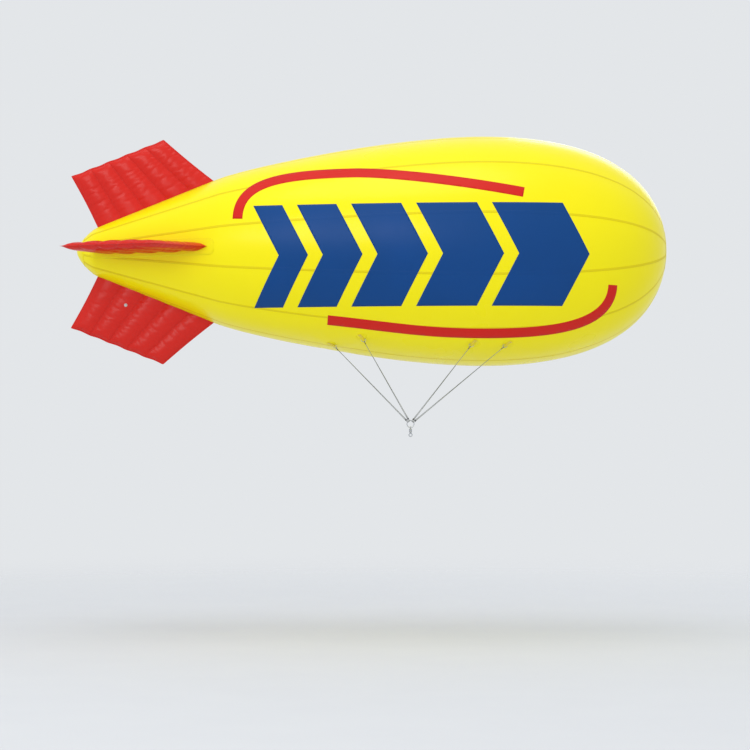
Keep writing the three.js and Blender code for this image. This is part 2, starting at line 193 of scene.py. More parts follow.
def new_material(name):
    material = bpy.data.materials.new(name)
    material.use_nodes = True
    material.node_tree.nodes.clear()
    node = partial(add, material.node_tree)
    return material, node, node("TexCoord").outputs["Object"]


def finished(node, share, colours, relief, **shader):
    """Ends a material: two colours mixed by a share, reliefs one on another, the shader's settings.

    Each relief is its height field, its depth in millimetres and its strength.
    """
    normal = None
    for height, depth, strength in relief:
        normal = node("Bump", Height=height, Distance=depth * MM, Strength=strength, Normal=normal)
    tint = node("Mix", share, *map(linear, colours), data_type="RGBA")
    node("OutputMaterial", node("BsdfPrincipled", tint, Normal=normal, **shader))


def film(name, *colours, roughness=0.3, peel=0.12, gloss_coat=0.08, welds=None, band=False):
    """Calendered film. Welds is None, "puckered" beside the seams, or "printed through" over them."""
    material, node, place = new_material(name)
    blotch = node("TexNoise", place, 1 / FILM_BLOTCH, 3.0)
    gloss = node("MapRange", blotch, 0.3, 0.7, roughness - 0.05, roughness + 0.07)
    relief = [(node("TexNoise", place, 1 / FILM_RIPPLE), 5, 0.3),
              (node("TexNoise", place, 1 / FILM_ORANGE_PEEL, 1.0), 0.4, peel)]
    weld = weld_field(node, place) if welds else None
    if welds == "puckered":
        creases = folds(node, weld, CREASE_PITCH, CREASE_LENGTH, CREASE_APART)
        fade = node("EXPONENT", node("/", weld.off_weld, -CREASE_REACH))
        relief.append((node("*", creases, fade), 4, 0.8))
    elif welds == "printed through":
        step = node("MapRange", weld.off_weld, PRESSED_BAND, PRESSED_BAND + 2 * MM, 1, 0)
        relief.append((step, 1, 0.8))
    if band:
        edge = node("Attribute", attribute_name="edge").outputs["Fac"]
        pressed = node("MapRange", edge, PRESSED_BAND, PRESSED_BAND + 1.5 * MM, 1, 0)
        x, y, z = node("SeparateXYZ", place).outputs
        aside = node("+", y, z)
        ridges = [node("SINE", node("*", node(way, x, aside), math.tau / KNURL_PITCH)) for way in "+-"]
        knurl = node("*", node("*", *ridges), 0.3)
        relief.append((node("*", pressed, node("-", knurl, 1.0)), 1.2, 0.9))
        gloss = node("+", gloss, node("*", pressed, PRESSED_DULLER))
    finished(node, blotch, colours, relief, Roughness=gloss, IOR=1.5, Specular_IOR_Level=0.2,
             Coat_Weight=gloss_coat, Coat_Roughness=0.14)
    return material


# Hull: saturated yellow under a clear gloss, puckered beside its welds.
yellow_film = film("calendered_film_yellow", "#fef200", "#fbea00", welds="puckered")
# Fins: the same sheet in red. Its pressed rim is duller.
red_film = film("calendered_film_red", "#dc261b", "#cd2017", band=True)
# Tape over each weld: pressed all over, so the seams read as fine darker lines.
tape_film = film("pressed_seam_tape_yellow", "#f0dd00", "#e4cf00", roughness=0.45, peel=0.6, gloss_coat=0)
# Doublers: a second layer of the hull's film with a pressed border.
doubler_film = film("welded_doubler_yellow", "#fdef00", "#f7e600", roughness=0.34, band=True)
# Screen ink: dull and dense. The seam tape shows through it as a low step.
ink = dict(roughness=0.42, peel=0.3, gloss_coat=0, welds="printed through")
red_ink = film("screen_ink_red", "#da1f15", "#cf1b12", **ink)
blue_ink = film("screen_ink_blue", "#01468d", "#023f7a", **ink)
print("film materials:", sum("film" in m.name or "ink" in m.name for m in bpy.data.materials))

# %% [markdown]
# Steel parts on a balloon are stainless rod and bar. The rings are bent from drawn rod, welded and
# polished, so they mirror their surroundings with a few fine scratches. The swivel is turned on a
# lathe, and the tool leaves rings round its axis that widen the highlight.

# %% Steel
TOOL_RING = 0.9 * MM


def steel(name, colour, roughness, turned_about=None):
    material, node, place = new_material(name)
    cloud = node("TexNoise", place, 1 / (14 * MM), 4.0, 0.6)
    gloss = node("MapRange", cloud, 0.35, 0.7, roughness * 0.7, roughness * 1.5)
    relief = [(node("TexNoise", place, 1 / (1.1 * MM), 3.0, 0.7), 0.05, 0.35)]
    if turned_about:
        offset = node("VectorMath", place, turned_about, operation="SUBTRACT")
        height = node("SeparateXYZ", offset).outputs["Z"]
        relief.append((node("SINE", node("*", height, math.tau / TOOL_RING)), 0.05, 0.5))
    finished(node, cloud, (colour, "#a9acb0"), relief, Roughness=gloss, Metallic=1.0)
    return material


# Drawn rod, polished after welding: a mirror with fine scratches.
polished_rod = steel("stainless_rod_polished", "#cfd2d6", 0.16)
# Bar stock turned on a lathe: fine rings round the upright axis.
turned_steel = steel("stainless_bar_turned", "#c4c7cb", 0.24, turned_about=tuple(ring_centre))
print("steel:", polished_rod.name, turned_steel.name)

# %% [markdown]
# Cord, webbing and thread are polyester yarn. What the eye catches is the interlacing: diamonds on a
# braided cord, fine ribs across webbing. Both follow the piece, so the mesh carries a `lay` attribute.
# On a cord it holds the cosine and sine of the angle round it and the length along it. On webbing it
# holds the distance across and the length along. The colours follow the same relief: painted shade
# darkens the grooves between strands and ribs, and a painted highlight lightens their crowns.

# %% Yarn
BRAID_PITCH = 14 * MM  # about twice the real pitch of a 5 mm cord
BRAID_STRANDS = 4
WEBBING_RIB = 3 * MM
TWIST_PITCH = 1.2 * MM


def yarn(name, groove_shade, light, pattern, roughness=0.75):
    material, node, _ = new_material(name)
    x, y, z = node("SeparateXYZ", node("Attribute", attribute_name="lay").outputs["Vector"]).outputs

    def humps(phase, turns):
        return node("ABSOLUTE", node("SINE", node("*", phase, turns)))

    if pattern == "braid":
        turn = node("*", node("ARCTAN2", y, x), float(BRAID_STRANDS))
        run = node("*", z, math.tau * BRAID_STRANDS / BRAID_PITCH)
        height = node("MAXIMUM", *[humps(node(way, turn, run), 0.5) for way in "+-"])
        depth = 0.5
    elif pattern == "rib":
        cross = humps(x, math.pi / (0.6 * WEBBING_RIB))
        height = node("*", humps(y, math.pi / WEBBING_RIB), node("+", node("*", cross, 0.5), 0.5))
        depth = 0.4
    else:
        height, depth = humps(z, math.pi / TWIST_PITCH), 0.2
    # The relief height also mixes the two colours: painted shade in the grooves, painted highlight on the
    # crowns.
    finished(node, height, (groove_shade, light), [(height, depth, 0.9)], Roughness=roughness, IOR=1.45,
             Sheen_Weight=0.25, Sheen_Roughness=0.5)
    return material


# Solid braid: grey polyester, with a painted highlight on the crowns of the strands and painted shade between
# them.
braided_cord = yarn("solid_braid_polyester_grey", "#565a5d", "#8d9194", "braid")
# Woven webbing: yellow dyed yarn with ribs across, painted shade between the ribs and a painted highlight on
# them.
woven_webbing = yarn("woven_webbing_yellow", "#dcc00a", "#f7e11c", "rib")
# Waxed twine for the whippings is nearly black. Bonded thread for the stitches is white and crisp.
# Along the twist both carry painted shade in the grooves and a painted highlight on the ridges.
waxed_twine = yarn("waxed_whipping_twine", "#26272a", "#3b3d40", "twist", 0.55)
bonded_thread = yarn("bonded_thread_white", "#c5c4bb", "#ecebe4", "twist", 0.5)
print("yarns:", *[m.name for m in (braided_cord, woven_webbing, waxed_twine, bonded_thread)])

# %% [markdown]
# The valves are injection moulded. Their skin is satin from a spark-eroded mould, and slightly soft to
# light, so the edges look less hard than paint would.

# %% Moulded plastic
def moulded(name, *colours, roughness):
    material, node, place = new_material(name)
    cloud = node("TexNoise", place, 1 / (30 * MM), 3.0)
    grain = node("TexNoise", place, 1 / (0.8 * MM))
    finished(node, cloud, colours, [(grain, 0.08, 0.4)], Roughness=roughness, IOR=1.49,
             Subsurface_Weight=0.08, Subsurface_Radius=(0.003, 0.003, 0.002))
    return material


# Flange and neck of the fill valve: undyed plastic, milky white and satin.
valve_plastic = moulded("moulded_polypropylene_white", "#e9e9e3", "#dcdcd4", roughness=0.42)
# Screw cap and fin valves: the same plastic dyed light grey, a little glossier from use.
cap_plastic = moulded("moulded_polypropylene_grey", "#c9cbcb", "#bcbebf", roughness=0.38)
print("materials:", len([m for m in bpy.data.materials if m.use_nodes]))

# %% [markdown]
# The side line of the hull is four stretches: a round tail tip, a straight cone, a long shoulder up to
# the widest station, and a blunt nose. Each is a curve with four control points, in metres along and
# out from the axis, as in the CAD source. The hull is this line spun about the long axis.

# %% Side line of the hull
# Each stretch: its control points, and how many points it is drawn with.
STRETCHES = {
    "tip": ([(-3.535, 0), (-3.535, 0.064), (-3.410, 0.2146136), (-3.321, 0.250)], 80),
    "cone": ([(-3.321, 0.250), (-2.904333, 0.4156667), (-2.487667, 0.5813333), (-2.071, 0.747)], 60),
    "shoulder": ([(-2.071, 0.747), (-1.831, 0.842424), (-0.376, 1.166), (0.602, 1.166)], 160),
    "nose": ([(0.602, 1.166), (2.262, 1.166), (2.465, 0.382), (2.465, 0)], 260)}


def bezier(control, count):
    t = np.linspace(0, 1, count)[:, None]
    a, b, c, d = np.array(control, float)
    return (1 - t) ** 3 * a + 3 * (1 - t) ** 2 * t * b + 3 * (1 - t) * t ** 2 * c + t ** 3 * d


side_line = np.vstack([STRETCHES["tip"][0][:1]] + [bezier(*stretch)[1:] for stretch in STRETCHES.values()])


def hull_radius(x):
    return np.interp(x, side_line[:, 0], side_line[:, 1])


def hull_point(x, angle, side):
    """A point of the plain hull, `angle` degrees out from the keel towards a side, and its normal."""
    across, down = side * math.sin(math.radians(angle)), -math.cos(math.radians(angle))
    step = 0.02
    lean = (hull_radius(x + step) - hull_radius(x - step)) / (2 * step)
    radius = hull_radius(x)
    return Vector((x, radius * across, radius * down)), Vector((-lean, across, down)).normalized()


print("side line:", round(float(np.hypot(*np.diff(side_line, axis=0).T).sum()), 2), "m over the surface")

# %% [markdown]
# A finished piece is always a plain mesh with its object at the origin. These helpers make one from
# lists of vertices or from a bmesh, settle a modifier into it, and keep a value for each point.

# %% Helpers for meshes
def mesh_object(name, vertices, faces=(), *materials, edges=()):
    mesh = bpy.data.meshes.new(name)
    mesh.from_pydata(vertices, edges, faces, shade_flat=False)
    for material in materials:
        mesh.materials.append(material)
    return placed(name, mesh)


def chain(name, path, closed=False):
    """Points joined one after another by edges."""
    edges = [(i, (i + 1) % len(path)) for i in range(len(path) - (not closed))]
    return mesh_object(name, path, edges=edges)


def from_form(name, form, *materials):
    """A bmesh as a new object."""
    obj = mesh_object(name, (), (), *materials)
    form.to_mesh(obj.data)
    form.free()
    return obj


def outward(obj, merge=1e-6):
    """Merges doubles and turns every face outwards."""
    form = bmesh.new()
    form.from_mesh(obj.data)
    bmesh.ops.remove_doubles(form, verts=form.verts, dist=merge)
    bmesh.ops.recalc_face_normals(form, faces=form.faces)
    form.to_mesh(obj.data)
    form.free()
    return obj


def settled(obj):
    """The evaluated result of an object as a plain smooth mesh that takes its place."""
    mesh = bpy.data.meshes.new_from_object(obj.evaluated_get(bpy.context.evaluated_depsgraph_get()))
    mesh.name = name = obj.name
    mesh.shade_smooth()
    bpy.data.objects.remove(obj)
    return placed(name, mesh)


def thickened(obj, thickness, offset=-1.0):
    """Gives a sheet its thickness, inwards from the surface unless told otherwise."""
    wall = obj.modifiers.new("wall", "SOLIDIFY")
    wall.thickness, wall.offset = thickness, offset
    return settled(obj)


def grid_faces(rows, columns, round_rows=False, round_columns=False):
    """Faces of a grid of points, listed row after row. Either way round, it may close on itself."""
    at = np.arange(rows * columns).reshape(rows, columns)
    faces = np.stack([at, np.roll(at, -1, 1), np.roll(at, -1, (0, 1)), np.roll(at, -1, 0)], -1)
    return faces[:rows - (not round_rows), :columns - (not round_columns)].reshape(-1, 4)


def keep(obj, name, values):
    """Keeps a number or a vector for each point of a mesh as a named attribute."""
    kind, field = ("FLOAT", "value") if np.ndim(values) == 1 else ("FLOAT_VECTOR", "vector")
    obj.data.attributes.new(name, kind, "POINT").data.foreach_set(field, np.ravel(values))


def joined(name, objs):
    """Several meshes as one piece, with their materials."""
    form, slots = bmesh.new(), []
    for obj in objs:
        own = list(obj.data.materials)
        slots += [material for material in own if material not in slots]
        start = len(form.faces)
        form.from_mesh(obj.data)
        for face in form.faces[start:]:
            face.material_index = slots.index(own[face.material_index])
        bpy.data.objects.remove(obj)
    return from_form(name, form, *slots)


def surface_of(obj):
    """The mesh as rays see it."""
    return BVHTree.FromPolygons([v.co for v in obj.data.vertices], [p.vertices for p in obj.data.polygons])


# %% [markdown]
# Two more helpers serve every piece. One grows a mesh with Geometry Nodes. It builds the tree once, with
# a named input for each size, and ends it with instances made real, smooth shading and one material.
# The other hides the CAD nodes that a piece stands for, and ties the piece to the body that it moves with.

# %% Helpers for pieces
SOCKETS = {int: "Int", float: "Float", bpy.types.Object: "Object", bpy.types.Material: "Material"}
trees = {}


def grow_tree(build, inputs):
    tree = bpy.data.node_groups.new(build.__name__, "GeometryNodeTree")
    tree.interface.new_socket("Geometry", in_out="OUTPUT", socket_type="NodeSocketGeometry")
    tree.interface.new_socket("Geometry", in_out="INPUT", socket_type="NodeSocketGeometry")
    for key, value in inputs.items():
        tree.interface.new_socket(key, in_out="INPUT", socket_type="NodeSocket" + SOCKETS[type(value)])
    node = partial(add, tree)
    given = node("NodeGroupInput").outputs
    smooth = node("SetShadeSmooth", node("RealizeInstances", build(node, given)))
    node("NodeGroupOutput", node("SetMaterial", smooth, Material=given["Material"]))
    return tree


def grown(source, build, **inputs):
    """Runs the tree that build describes on a source object, and puts the result in its place."""
    if build not in trees:
        trees[build] = grow_tree(build, inputs)
    modifier = source.modifiers.new("grow", "NODES")
    modifier.node_group = trees[build]
    for socket in trees[build].interface.items_tree:
        if socket.name in inputs:
            modifier[socket.identifier] = inputs[socket.name]
    result = settled(source)
    if not result.data.materials[0]:
        result.data.materials.pop(index=0)  # instances bring an empty slot
    return result


def piece(obj, slot, *nodes, body="balloon"):
    if nodes:
        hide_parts(*nodes)
    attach(obj, body)
    return obj


def triangles(obj):
    return sum(len(p.vertices) - 2 for p in obj.data.polygons)


def arc(centre, one, two, radius, first, last, steps):
    """Points on an arc in the plane of two directions, from one angle to another in degrees."""
    return [centre + radius * (math.cos(t) * one + math.sin(t) * two)
            for t in np.radians(np.linspace(first, last, steps + 1))]


def hoop(centre, one, two, radius, steps):
    """All round a circle, without repeating the first point."""
    return arc(centre, one, two, radius, 0, 360 - 360 / steps, steps - 1)


# %% [markdown]
# The hull's shape follows a rule, so Geometry Nodes make it. A straight spine carries the hull's
# radius, and a circle is swept along it. Then the columns are drawn closer to the welds, where the form
# is finest. Each weld pulls the film in by a few millimetres, and the gas blows the gore out between
# two of them. Beside a weld the spare film puckers, because a curved edge was joined flat.

# %% Hull
HULL_ROWS, HULL_COLUMNS = 400, GORES * 20
WELD_SINK, WELD_PUCKER = 6 * MM, 5 * MM
PUCKER_REACH, PUCKER_PITCH, PUCKER_LENGTH = 45 * MM, 80 * MM, 300 * MM
PUCKER_APART, PUCKER_MIDDLE = 7.3, 0.55
FULL_GORE = 0.6
COLUMN_GATHER = 0.7


def gored_hull(node, given):
    line = node("ResampleCurve", node("MeshToCurve", given["Geometry"]), Count=given["Rows"])
    x, y, _ = node("SeparateXYZ", node("InputPosition")).outputs
    spine = node("SetPosition", node("SetCurveRadius", line, Radius=y), Position=node("CombineXYZ", x))
    swept = node("CurveToMesh", spine, node("CurvePrimitiveCircle", given["Columns"], 1.0),
                 Scale=node("InputRadius"))
    hull = node("MergeByDistance", swept, Distance=0.2 * MM)

    # Columns gather towards the welds.
    even = weld_field(node, node("InputPosition"))
    wave = node("SINE", node("*", even.share, math.tau))
    drawn = node("-", even.gore, node("*", wave, COLUMN_GATHER / math.tau))
    turn = node("+", node("*", drawn, GORE_TURN), FIRST_SEAM)
    y, z = [node("*", even.radius, node(way, turn)) for way in ("SINE", "COSINE")]
    gathered = node("SetPosition", hull, Position=node("CombineXYZ", even.x, y, z))

    # The weld sinks, and the film beside it puckers.
    weld = weld_field(node, node("InputPosition"))
    across = node("-", node("*", weld.share, 2.0), 1.0)
    fullness = node("MINIMUM", 1.0, node("/", weld.width, FULL_GORE))
    sink = node("*", node("*", node("*", across, across), given["Sink"]), fullness)
    ripple = node("-", folds(node, weld, PUCKER_PITCH, PUCKER_LENGTH, PUCKER_APART), PUCKER_MIDDLE)
    reach = node("/", weld.off_weld, PUCKER_REACH)
    fade = node("*", reach, node("EXPONENT", node("-", 1.0, reach)))
    pucker = node("*", node("*", ripple, fade), given["Pucker"])
    push = node("VectorMath", node("InputNormal"), node("-", pucker, sink), operation="SCALE")
    return node("SetPosition", gathered, Offset=push)


flat_line = [(x, radius, 0) for x, radius in side_line]
hull = outward(grown(chain("hull_skin", flat_line), gored_hull, Rows=HULL_ROWS, Columns=HULL_COLUMNS,
                     Sink=WELD_SINK, Pucker=WELD_PUCKER, Material=yellow_film))
print("hull:", triangles(hull), "triangles")

# %% [markdown]
# The bridle pulls at eight load patches. There the film stands out as a low peak above its neighbours,
# with a shallow dip round it and folds that run away from the pull. At the fill valve a moulded flange
# holds the film true. These few places are moved point by point in the plain mesh.

# %% Load points and valve seat
# Each station: x, degrees out from the keel, degrees on the bridle ring.
STATIONS = [(-0.922, 18.8, -49.25), (-0.616, 32.6, -24.25), (0.492, 35.4, 31.45), (0.832, 34.3, 56.45)]
SIDES = {"starboard": -1, "port": 1}
PATCH_REACH, DIP_REACH, FORM_REACH = 0.11, 0.22, 0.6
DIP, FOLD, FOLDS = 3.5 * MM, 2.2 * MM, 9
VALVE_X, VALVE_ANGLE = -1.750, 40

load_points = {f"{name}_{i + 1}": hull_point(x, angle, side)
               for name, side in SIDES.items() for i, (x, angle, _) in enumerate(STATIONS)}
valve_seat, valve_normal = hull_point(VALVE_X, VALVE_ANGLE, 1)

points = np.array([v.co for v in hull.data.vertices])
for key, (centre, normal) in [*load_points.items(), ("valve", (valve_seat, valve_normal))]:
    offset = points - np.array(centre)
    distance = np.linalg.norm(offset, axis=1)
    near = distance < FORM_REACH
    spots, distance = points[near], distance[near]
    section = np.hypot(spots[:, 1], spots[:, 2])
    hold = np.exp(-(distance / PATCH_REACH) ** 4)
    lift = (hull_radius(spots[:, 0]) - section) * hold
    if key != "valve":
        pull = np.array((ring_centre - centre).normalized())
        sideways = np.cross(np.array(normal), pull)
        bearing = np.arctan2(offset[near] @ sideways, offset[near] @ pull)
        away = distance / DIP_REACH
        ring_shape = away ** 2 * np.exp(1 - away ** 2) * (1 - hold)
        lift -= ring_shape * (DIP + FOLD * np.cos(FOLDS * bearing) * np.exp(-away))
    spots[:, 1:] *= (1 + lift / section)[:, None]
    points[near] = spots
hull.data.vertices.foreach_set("co", points.ravel())
hull.data.update()
hull_surface = surface_of(hull)
piece(hull, "yellow_film", "envelope")
print("load points:", len(load_points))

# %% [markdown]
# A tape covers each weld from the nose cap to the tail cap. Twelve flat grids are made as instances,
# and each learns its own number. A field then bends every grid along the side line, turns it to its
# weld, and drops it onto the hull with a ray. So the tape follows every pucker below it.

# %% Seam tapes
TAPE_WIDTH, TAPE_RISE, TAPE_THICKNESS = 24 * MM, 0.5 * MM, 0.6 * MM
TAPE_ROWS = 420
TAPE_START, TAPE_STOP = 0.018, 0.975
RAY_START = 50 * MM


def seam_tape(node, given):
    flat = node("MeshGrid", TAPE_STOP - TAPE_START, given["Width"], given["Rows"], 5)
    known = node("CaptureAttribute", node("Points", given["Count"]))
    known.capture_items.new("INT", "Seam")
    wire(known.inputs["Seam"], node("InputIndex"))
    grids = node("RealizeInstances", node("InstanceOnPoints", known, Instance=flat))

    x, y, _ = node("SeparateXYZ", node("InputPosition")).outputs
    along = node("+", x, (TAPE_START + TAPE_STOP) / 2)
    line = node("MeshToCurve", given["Geometry"])
    spot = node("SampleCurve", line, Factor=along, data_type="FLOAT").outputs
    on_line, ahead = (node("SeparateXYZ", spot[key]).outputs for key in ("Position", "Tangent"))
    turn = node("+", node("*", known.outputs["Seam"], GORE_TURN), FIRST_SEAM)
    sine, cosine = node("SINE", turn), node("COSINE", turn)

    def spun(x, out, aside):
        """A vector from its parts along the axis, outwards and round the hull."""
        y = node("+", node("*", out, sine), node("*", aside, cosine))
        z = node("-", node("*", out, cosine), node("*", aside, sine))
        return node("CombineXYZ", x, y, z)

    place = spun(on_line["X"], on_line["Y"], y)
    normal = spun(node("*", ahead["Y"], -1.0), ahead["X"], 0.0)
    out, down, lifted = [node("VectorMath", normal, amount, operation="SCALE")
                         for amount in (RAY_START, -1.0, given["Rise"])]
    target = node("ObjectInfo", given["Hull"]).outputs["Geometry"]
    landed = node("Raycast", target, Source_Position=node("VectorMath", place, out), Ray_Direction=down,
                  Ray_Length=4 * RAY_START).outputs["Hit Position"]
    return node("SetPosition", grids, Position=node("VectorMath", landed, lifted))


tapes = grown(chain("seam_tapes", flat_line), seam_tape, Hull=hull, Count=GORES, Rows=TAPE_ROWS,
              Width=TAPE_WIDTH, Rise=TAPE_RISE, Material=tape_film)
tapes = piece(thickened(tapes, TAPE_THICKNESS), "yellow_film")
print("tapes:", GORES, "with", triangles(tapes), "triangles")

# %% [markdown]
# Every other sheet on the hull is cut flat, divided finely and dropped onto the blown surface along
# one direction. A ray finds the landing point, and the sheet stops a fraction of a millimetre above it.
# The helper also stores each point's distance to the cut edge, for the pressed band.

# %% Helper for sheets laid on the hull
FAR_OUT = 4.0


def edge_distance(points_2d, outline):
    """The distance from each flat point to the nearest side of the outline."""
    spots = np.array(points_2d)[:, None]
    a = np.array(outline)[None]
    side = np.roll(a, -1, axis=1) - a
    share = np.clip(((spots - a) * side).sum(2) / np.maximum((side ** 2).sum(2), 1e-12), 0, 1)
    return np.linalg.norm(spots - a - share[..., None] * side, axis=2).min(axis=1)


def laid(name, outline, to_space, direction, material, rise=1.1 * MM, thickness=0.8 * MM, grid=24 * MM):
    """A flat outline, divided by a grid, set in space by to_space and dropped along a direction."""
    form = bmesh.new()
    form.faces.new([form.verts.new((a, b, 0)) for a, b in outline])
    low, high = np.min(outline, axis=0), np.max(outline, axis=0)
    for first, last, across in zip(low, high, (EAST, NORTH)):
        for k in range(1, math.ceil((last - first) / grid)):
            everything, cut = form.verts[:] + form.edges[:] + form.faces[:], across * (first + k * grid)
            bmesh.ops.bisect_plane(form, geom=everything, plane_co=cut, plane_no=across, dist=1e-5)
    bmesh.ops.remove_doubles(form, verts=form.verts, dist=1e-4)
    flat = [(v.co.x, v.co.y) for v in form.verts]
    down = Vector(direction).normalized()
    for vert in form.verts:
        start = Vector(to_space(vert.co.x, vert.co.y)) - down * FAR_OUT
        place, normal, _, _ = hull_surface.ray_cast(start, down)
        vert.co = place + normal * (rise if normal.dot(down) < 0 else -rise)
    bmesh.ops.recalc_face_normals(form, faces=form.faces)
    if sum(f.normal.dot(down) * f.calc_area() for f in form.faces) > 0:
        bmesh.ops.reverse_faces(form, faces=form.faces)
    sheet = from_form(name, form, material)
    keep(sheet, "edge", edge_distance(flat, outline))
    return thickened(sheet, thickness)


# %% [markdown]
# The printed shapes on each flank are two red swooshes and a row of blue chevrons that widen towards
# the nose. They are drawn on the side view and dropped onto the hull straight from the side. A blade
# cuts such shapes clean, so only the outline matters, and the film's curve does the rest.

# %% Printed shapes
# Each swoosh: its width, then the control points of the two curves of its middle line.
SWOOSHES = {
    "upper": (0.100, [(-1.835, 0.267), (-1.835, 0.675), (-1.380, 0.720), (-0.712, 0.720)],
              [(-0.712, 0.720), (-0.322, 0.720), (0.502, 0.587), (0.972, 0.498)]),
    "lower": (0.092, [(1.851, -0.395), (1.851, -0.787), (1.293, -0.865), (0.600, -0.865)],
              [(0.600, -0.865), (0, -0.865), (-0.353, -0.794), (-0.949, -0.729)])}
CHEVRON_AFT, CHEVRON_TOP, CHEVRON_BOTTOM = -1.680, 0.395, -0.605
CHEVRON_POINT, CHEVRON_GAP = 0.260, 0.145
CHEVRON_WIDTHS = [0.29, 0.39, 0.49, 0.59, 0.69]


def swoosh_outline(width, rise, run):
    """A band of even width about a middle line of two curves."""
    middle_line = np.vstack([bezier(rise, 40), bezier(run, 60)[1:]])
    heading = np.gradient(middle_line, axis=0)
    heading /= np.linalg.norm(heading, axis=1)[:, None]
    left_of = np.column_stack([-heading[:, 1], heading[:, 0]]) * width / 2
    return np.vstack([middle_line + left_of, (middle_line - left_of)[::-1]])


def chevron(aft, width):
    middle = (CHEVRON_TOP + CHEVRON_BOTTOM) / 2
    return np.array([
        (aft, CHEVRON_BOTTOM), (aft + width, CHEVRON_BOTTOM), (aft + width + CHEVRON_POINT, middle),
        (aft + width, CHEVRON_TOP), (aft, CHEVRON_TOP), (aft + CHEVRON_POINT, middle)])


for name, side in SIDES.items():
    flank = dict(to_space=lambda a, b: (a, 0, b), direction=(0, -side, 0))
    for place, drawing in SWOOSHES.items():
        swoosh = laid(f"swoosh_{place}_{name}", swoosh_outline(*drawing), material=red_ink, **flank)
        piece(swoosh, "red_print", f"stripe_{place}_{name}")
    aft = CHEVRON_AFT
    for i, width in enumerate(CHEVRON_WIDTHS):
        shape = laid(f"chevron_print_{name}_{i + 1}", chevron(aft, width), material=blue_ink, **flank)
        piece(shape, "blue_print", f"chevron_{name}_{i + 1}")
        aft += width + CHEVRON_GAP
print("printed shapes:", len(SIDES) * (len(SWOOSHES) + len(CHEVRON_WIDTHS)))

# %% [markdown]
# Twelve weld tapes would meet in a knot at each end. A round cap of film covers the knot, and spreads
# the load at the nose. It is one more sheet laid on the hull, dropped along the axis.

# %% Nose and tail caps
# Each cap: its radius and the direction that it is dropped in.
CAPS = {"nose_cap": (0.210, -1), "tail_cap": (0.150, 1)}

for name, (radius, way) in CAPS.items():
    cap = laid(f"{name}_sheet", hoop(0, *FLAT, radius, 72), lambda a, b: (0, a, b), (way, 0, 0), doubler_film,
               rise=2.2 * MM, thickness=1.6 * MM, grid=12 * MM)
    piece(cap, "yellow_film", name)
print("caps:", len(CAPS))

# %% [markdown]
# A fin is an inflated panel: two sheets welded together round a flat rim, held apart inside by strips
# that divide it into five tubes. The gas makes each tube round, and draws the rim in a little at the
# head of each tube. The form follows a few formulas of two numbers: u runs along the hull, v runs
# outwards. So it starts as two grids over one outline, closed round their border.

# %% Fin panel
FIN_OUTER_AFT, FIN_OUTER_FORE = np.array([(-3.600, 0.777), (-2.653, 1.150)])
FIN_ROOT_FORE, FIN_ROOT_AFT = np.array([(-2.122, 0.715), (-3.323, 0.244)])
FIN_BURIED, FIN_TUBES = 0.05, 5
FIN_RIM, FIN_BULGE = 0.7 * MM, 40 * MM
FIN_VALLEY, FIN_HEAD = 0.66, 0.15
RIM_U, RIM_V = 0.011, 0.024
TUBE_COLUMNS, FIN_ROWS = 14, 52
FIN_COLUMN_GATHER, FIN_ROW_GATHER = 0.45, 0.92
HEAD_DRAW, SIDE_DRAW, DRAW_REACH = 7 * MM, 8 * MM, (0.1, 0.12)


def between(a, b, share):
    return a + (b - a) * share


def dome(x, power=2):
    """1 in the middle, 0 at both ends, and round on the way."""
    return np.sqrt(np.maximum(0, 1 - x ** power))


def fin_columns():
    """One column for the rim, then columns that gather at each strip, then the other rim."""
    share = np.linspace(0, 1, TUBE_COLUMNS + 1)[:-1]
    share = share - FIN_COLUMN_GATHER * np.sin(math.tau * share) / math.tau
    tubes = np.concatenate([(i + share) / FIN_TUBES for i in range(FIN_TUBES)] + [[1.0]])
    return np.concatenate([[0], RIM_U + tubes * (1 - 2 * RIM_U), [1]])


def fin_grid():
    """The smooth panel: places in the side view, half thickness, distance to a weld, points on welds."""
    rows = np.sin(np.linspace(0, FIN_ROW_GATHER, FIN_ROWS) * math.pi / 2)
    u, v = np.meshgrid(fin_columns(), np.append(rows / rows[-1] * (1 - RIM_V), 1))
    inner_aft = between(FIN_ROOT_AFT, FIN_OUTER_AFT, -FIN_BURIED)
    inner_fore = between(FIN_ROOT_FORE, FIN_OUTER_FORE, -FIN_BURIED)
    low = between(inner_aft, inner_fore, u[..., None])
    high = between(FIN_OUTER_AFT, FIN_OUTER_FORE, u[..., None])
    chord = np.linalg.norm(inner_fore - inner_aft)
    reach = np.linalg.norm(high - low, axis=-1)
    to_side, to_head = np.minimum(u, 1 - u) * chord, (1 - v) * reach

    # Half thickness: round tubes, on a cushion that thins to the rim at both sides and at the head.
    inside = np.clip((u - RIM_U) / (1 - 2 * RIM_U), 0, 1)
    in_tube = inside * FIN_TUBES % 1.0
    into_head = np.maximum(v / (1 - RIM_V) - 1 + FIN_HEAD, 0) / FIN_HEAD
    half = FIN_RIM + FIN_BULGE * dome(2 * inside - 1, 4) * dome(into_head) * (
        FIN_VALLEY + (1 - FIN_VALLEY) * dome(2 * in_tube - 1))

    # The rim is drawn in at the head of each tube, and a little along both sides.
    outwards = (high - low) / reach[..., None]
    along = (inner_fore - inner_aft) / chord
    draw_head = HEAD_DRAW * np.sin(math.pi * in_tube) ** 2 * np.exp(-to_head / DRAW_REACH[0])
    draw_side = SIDE_DRAW * np.sin(math.pi * v) * np.exp(-to_side / DRAW_REACH[1]) * np.sign(0.5 - u)
    spots = between(low, high, v[..., None]) - outwards * draw_head[..., None] + along * draw_side[..., None]
    to_strip = np.minimum(in_tube, 1 - in_tube) / FIN_TUBES * chord
    on_strip = (to_strip < 1e-6) & (into_head < 0.5)
    on_rim = (inside <= 0) | (inside >= 1) | (v <= 0) | (into_head >= 1)
    weld_distance = np.minimum(np.minimum(to_side, to_head), to_strip + 6 * MM)
    return spots, half, weld_distance, on_strip | on_rim


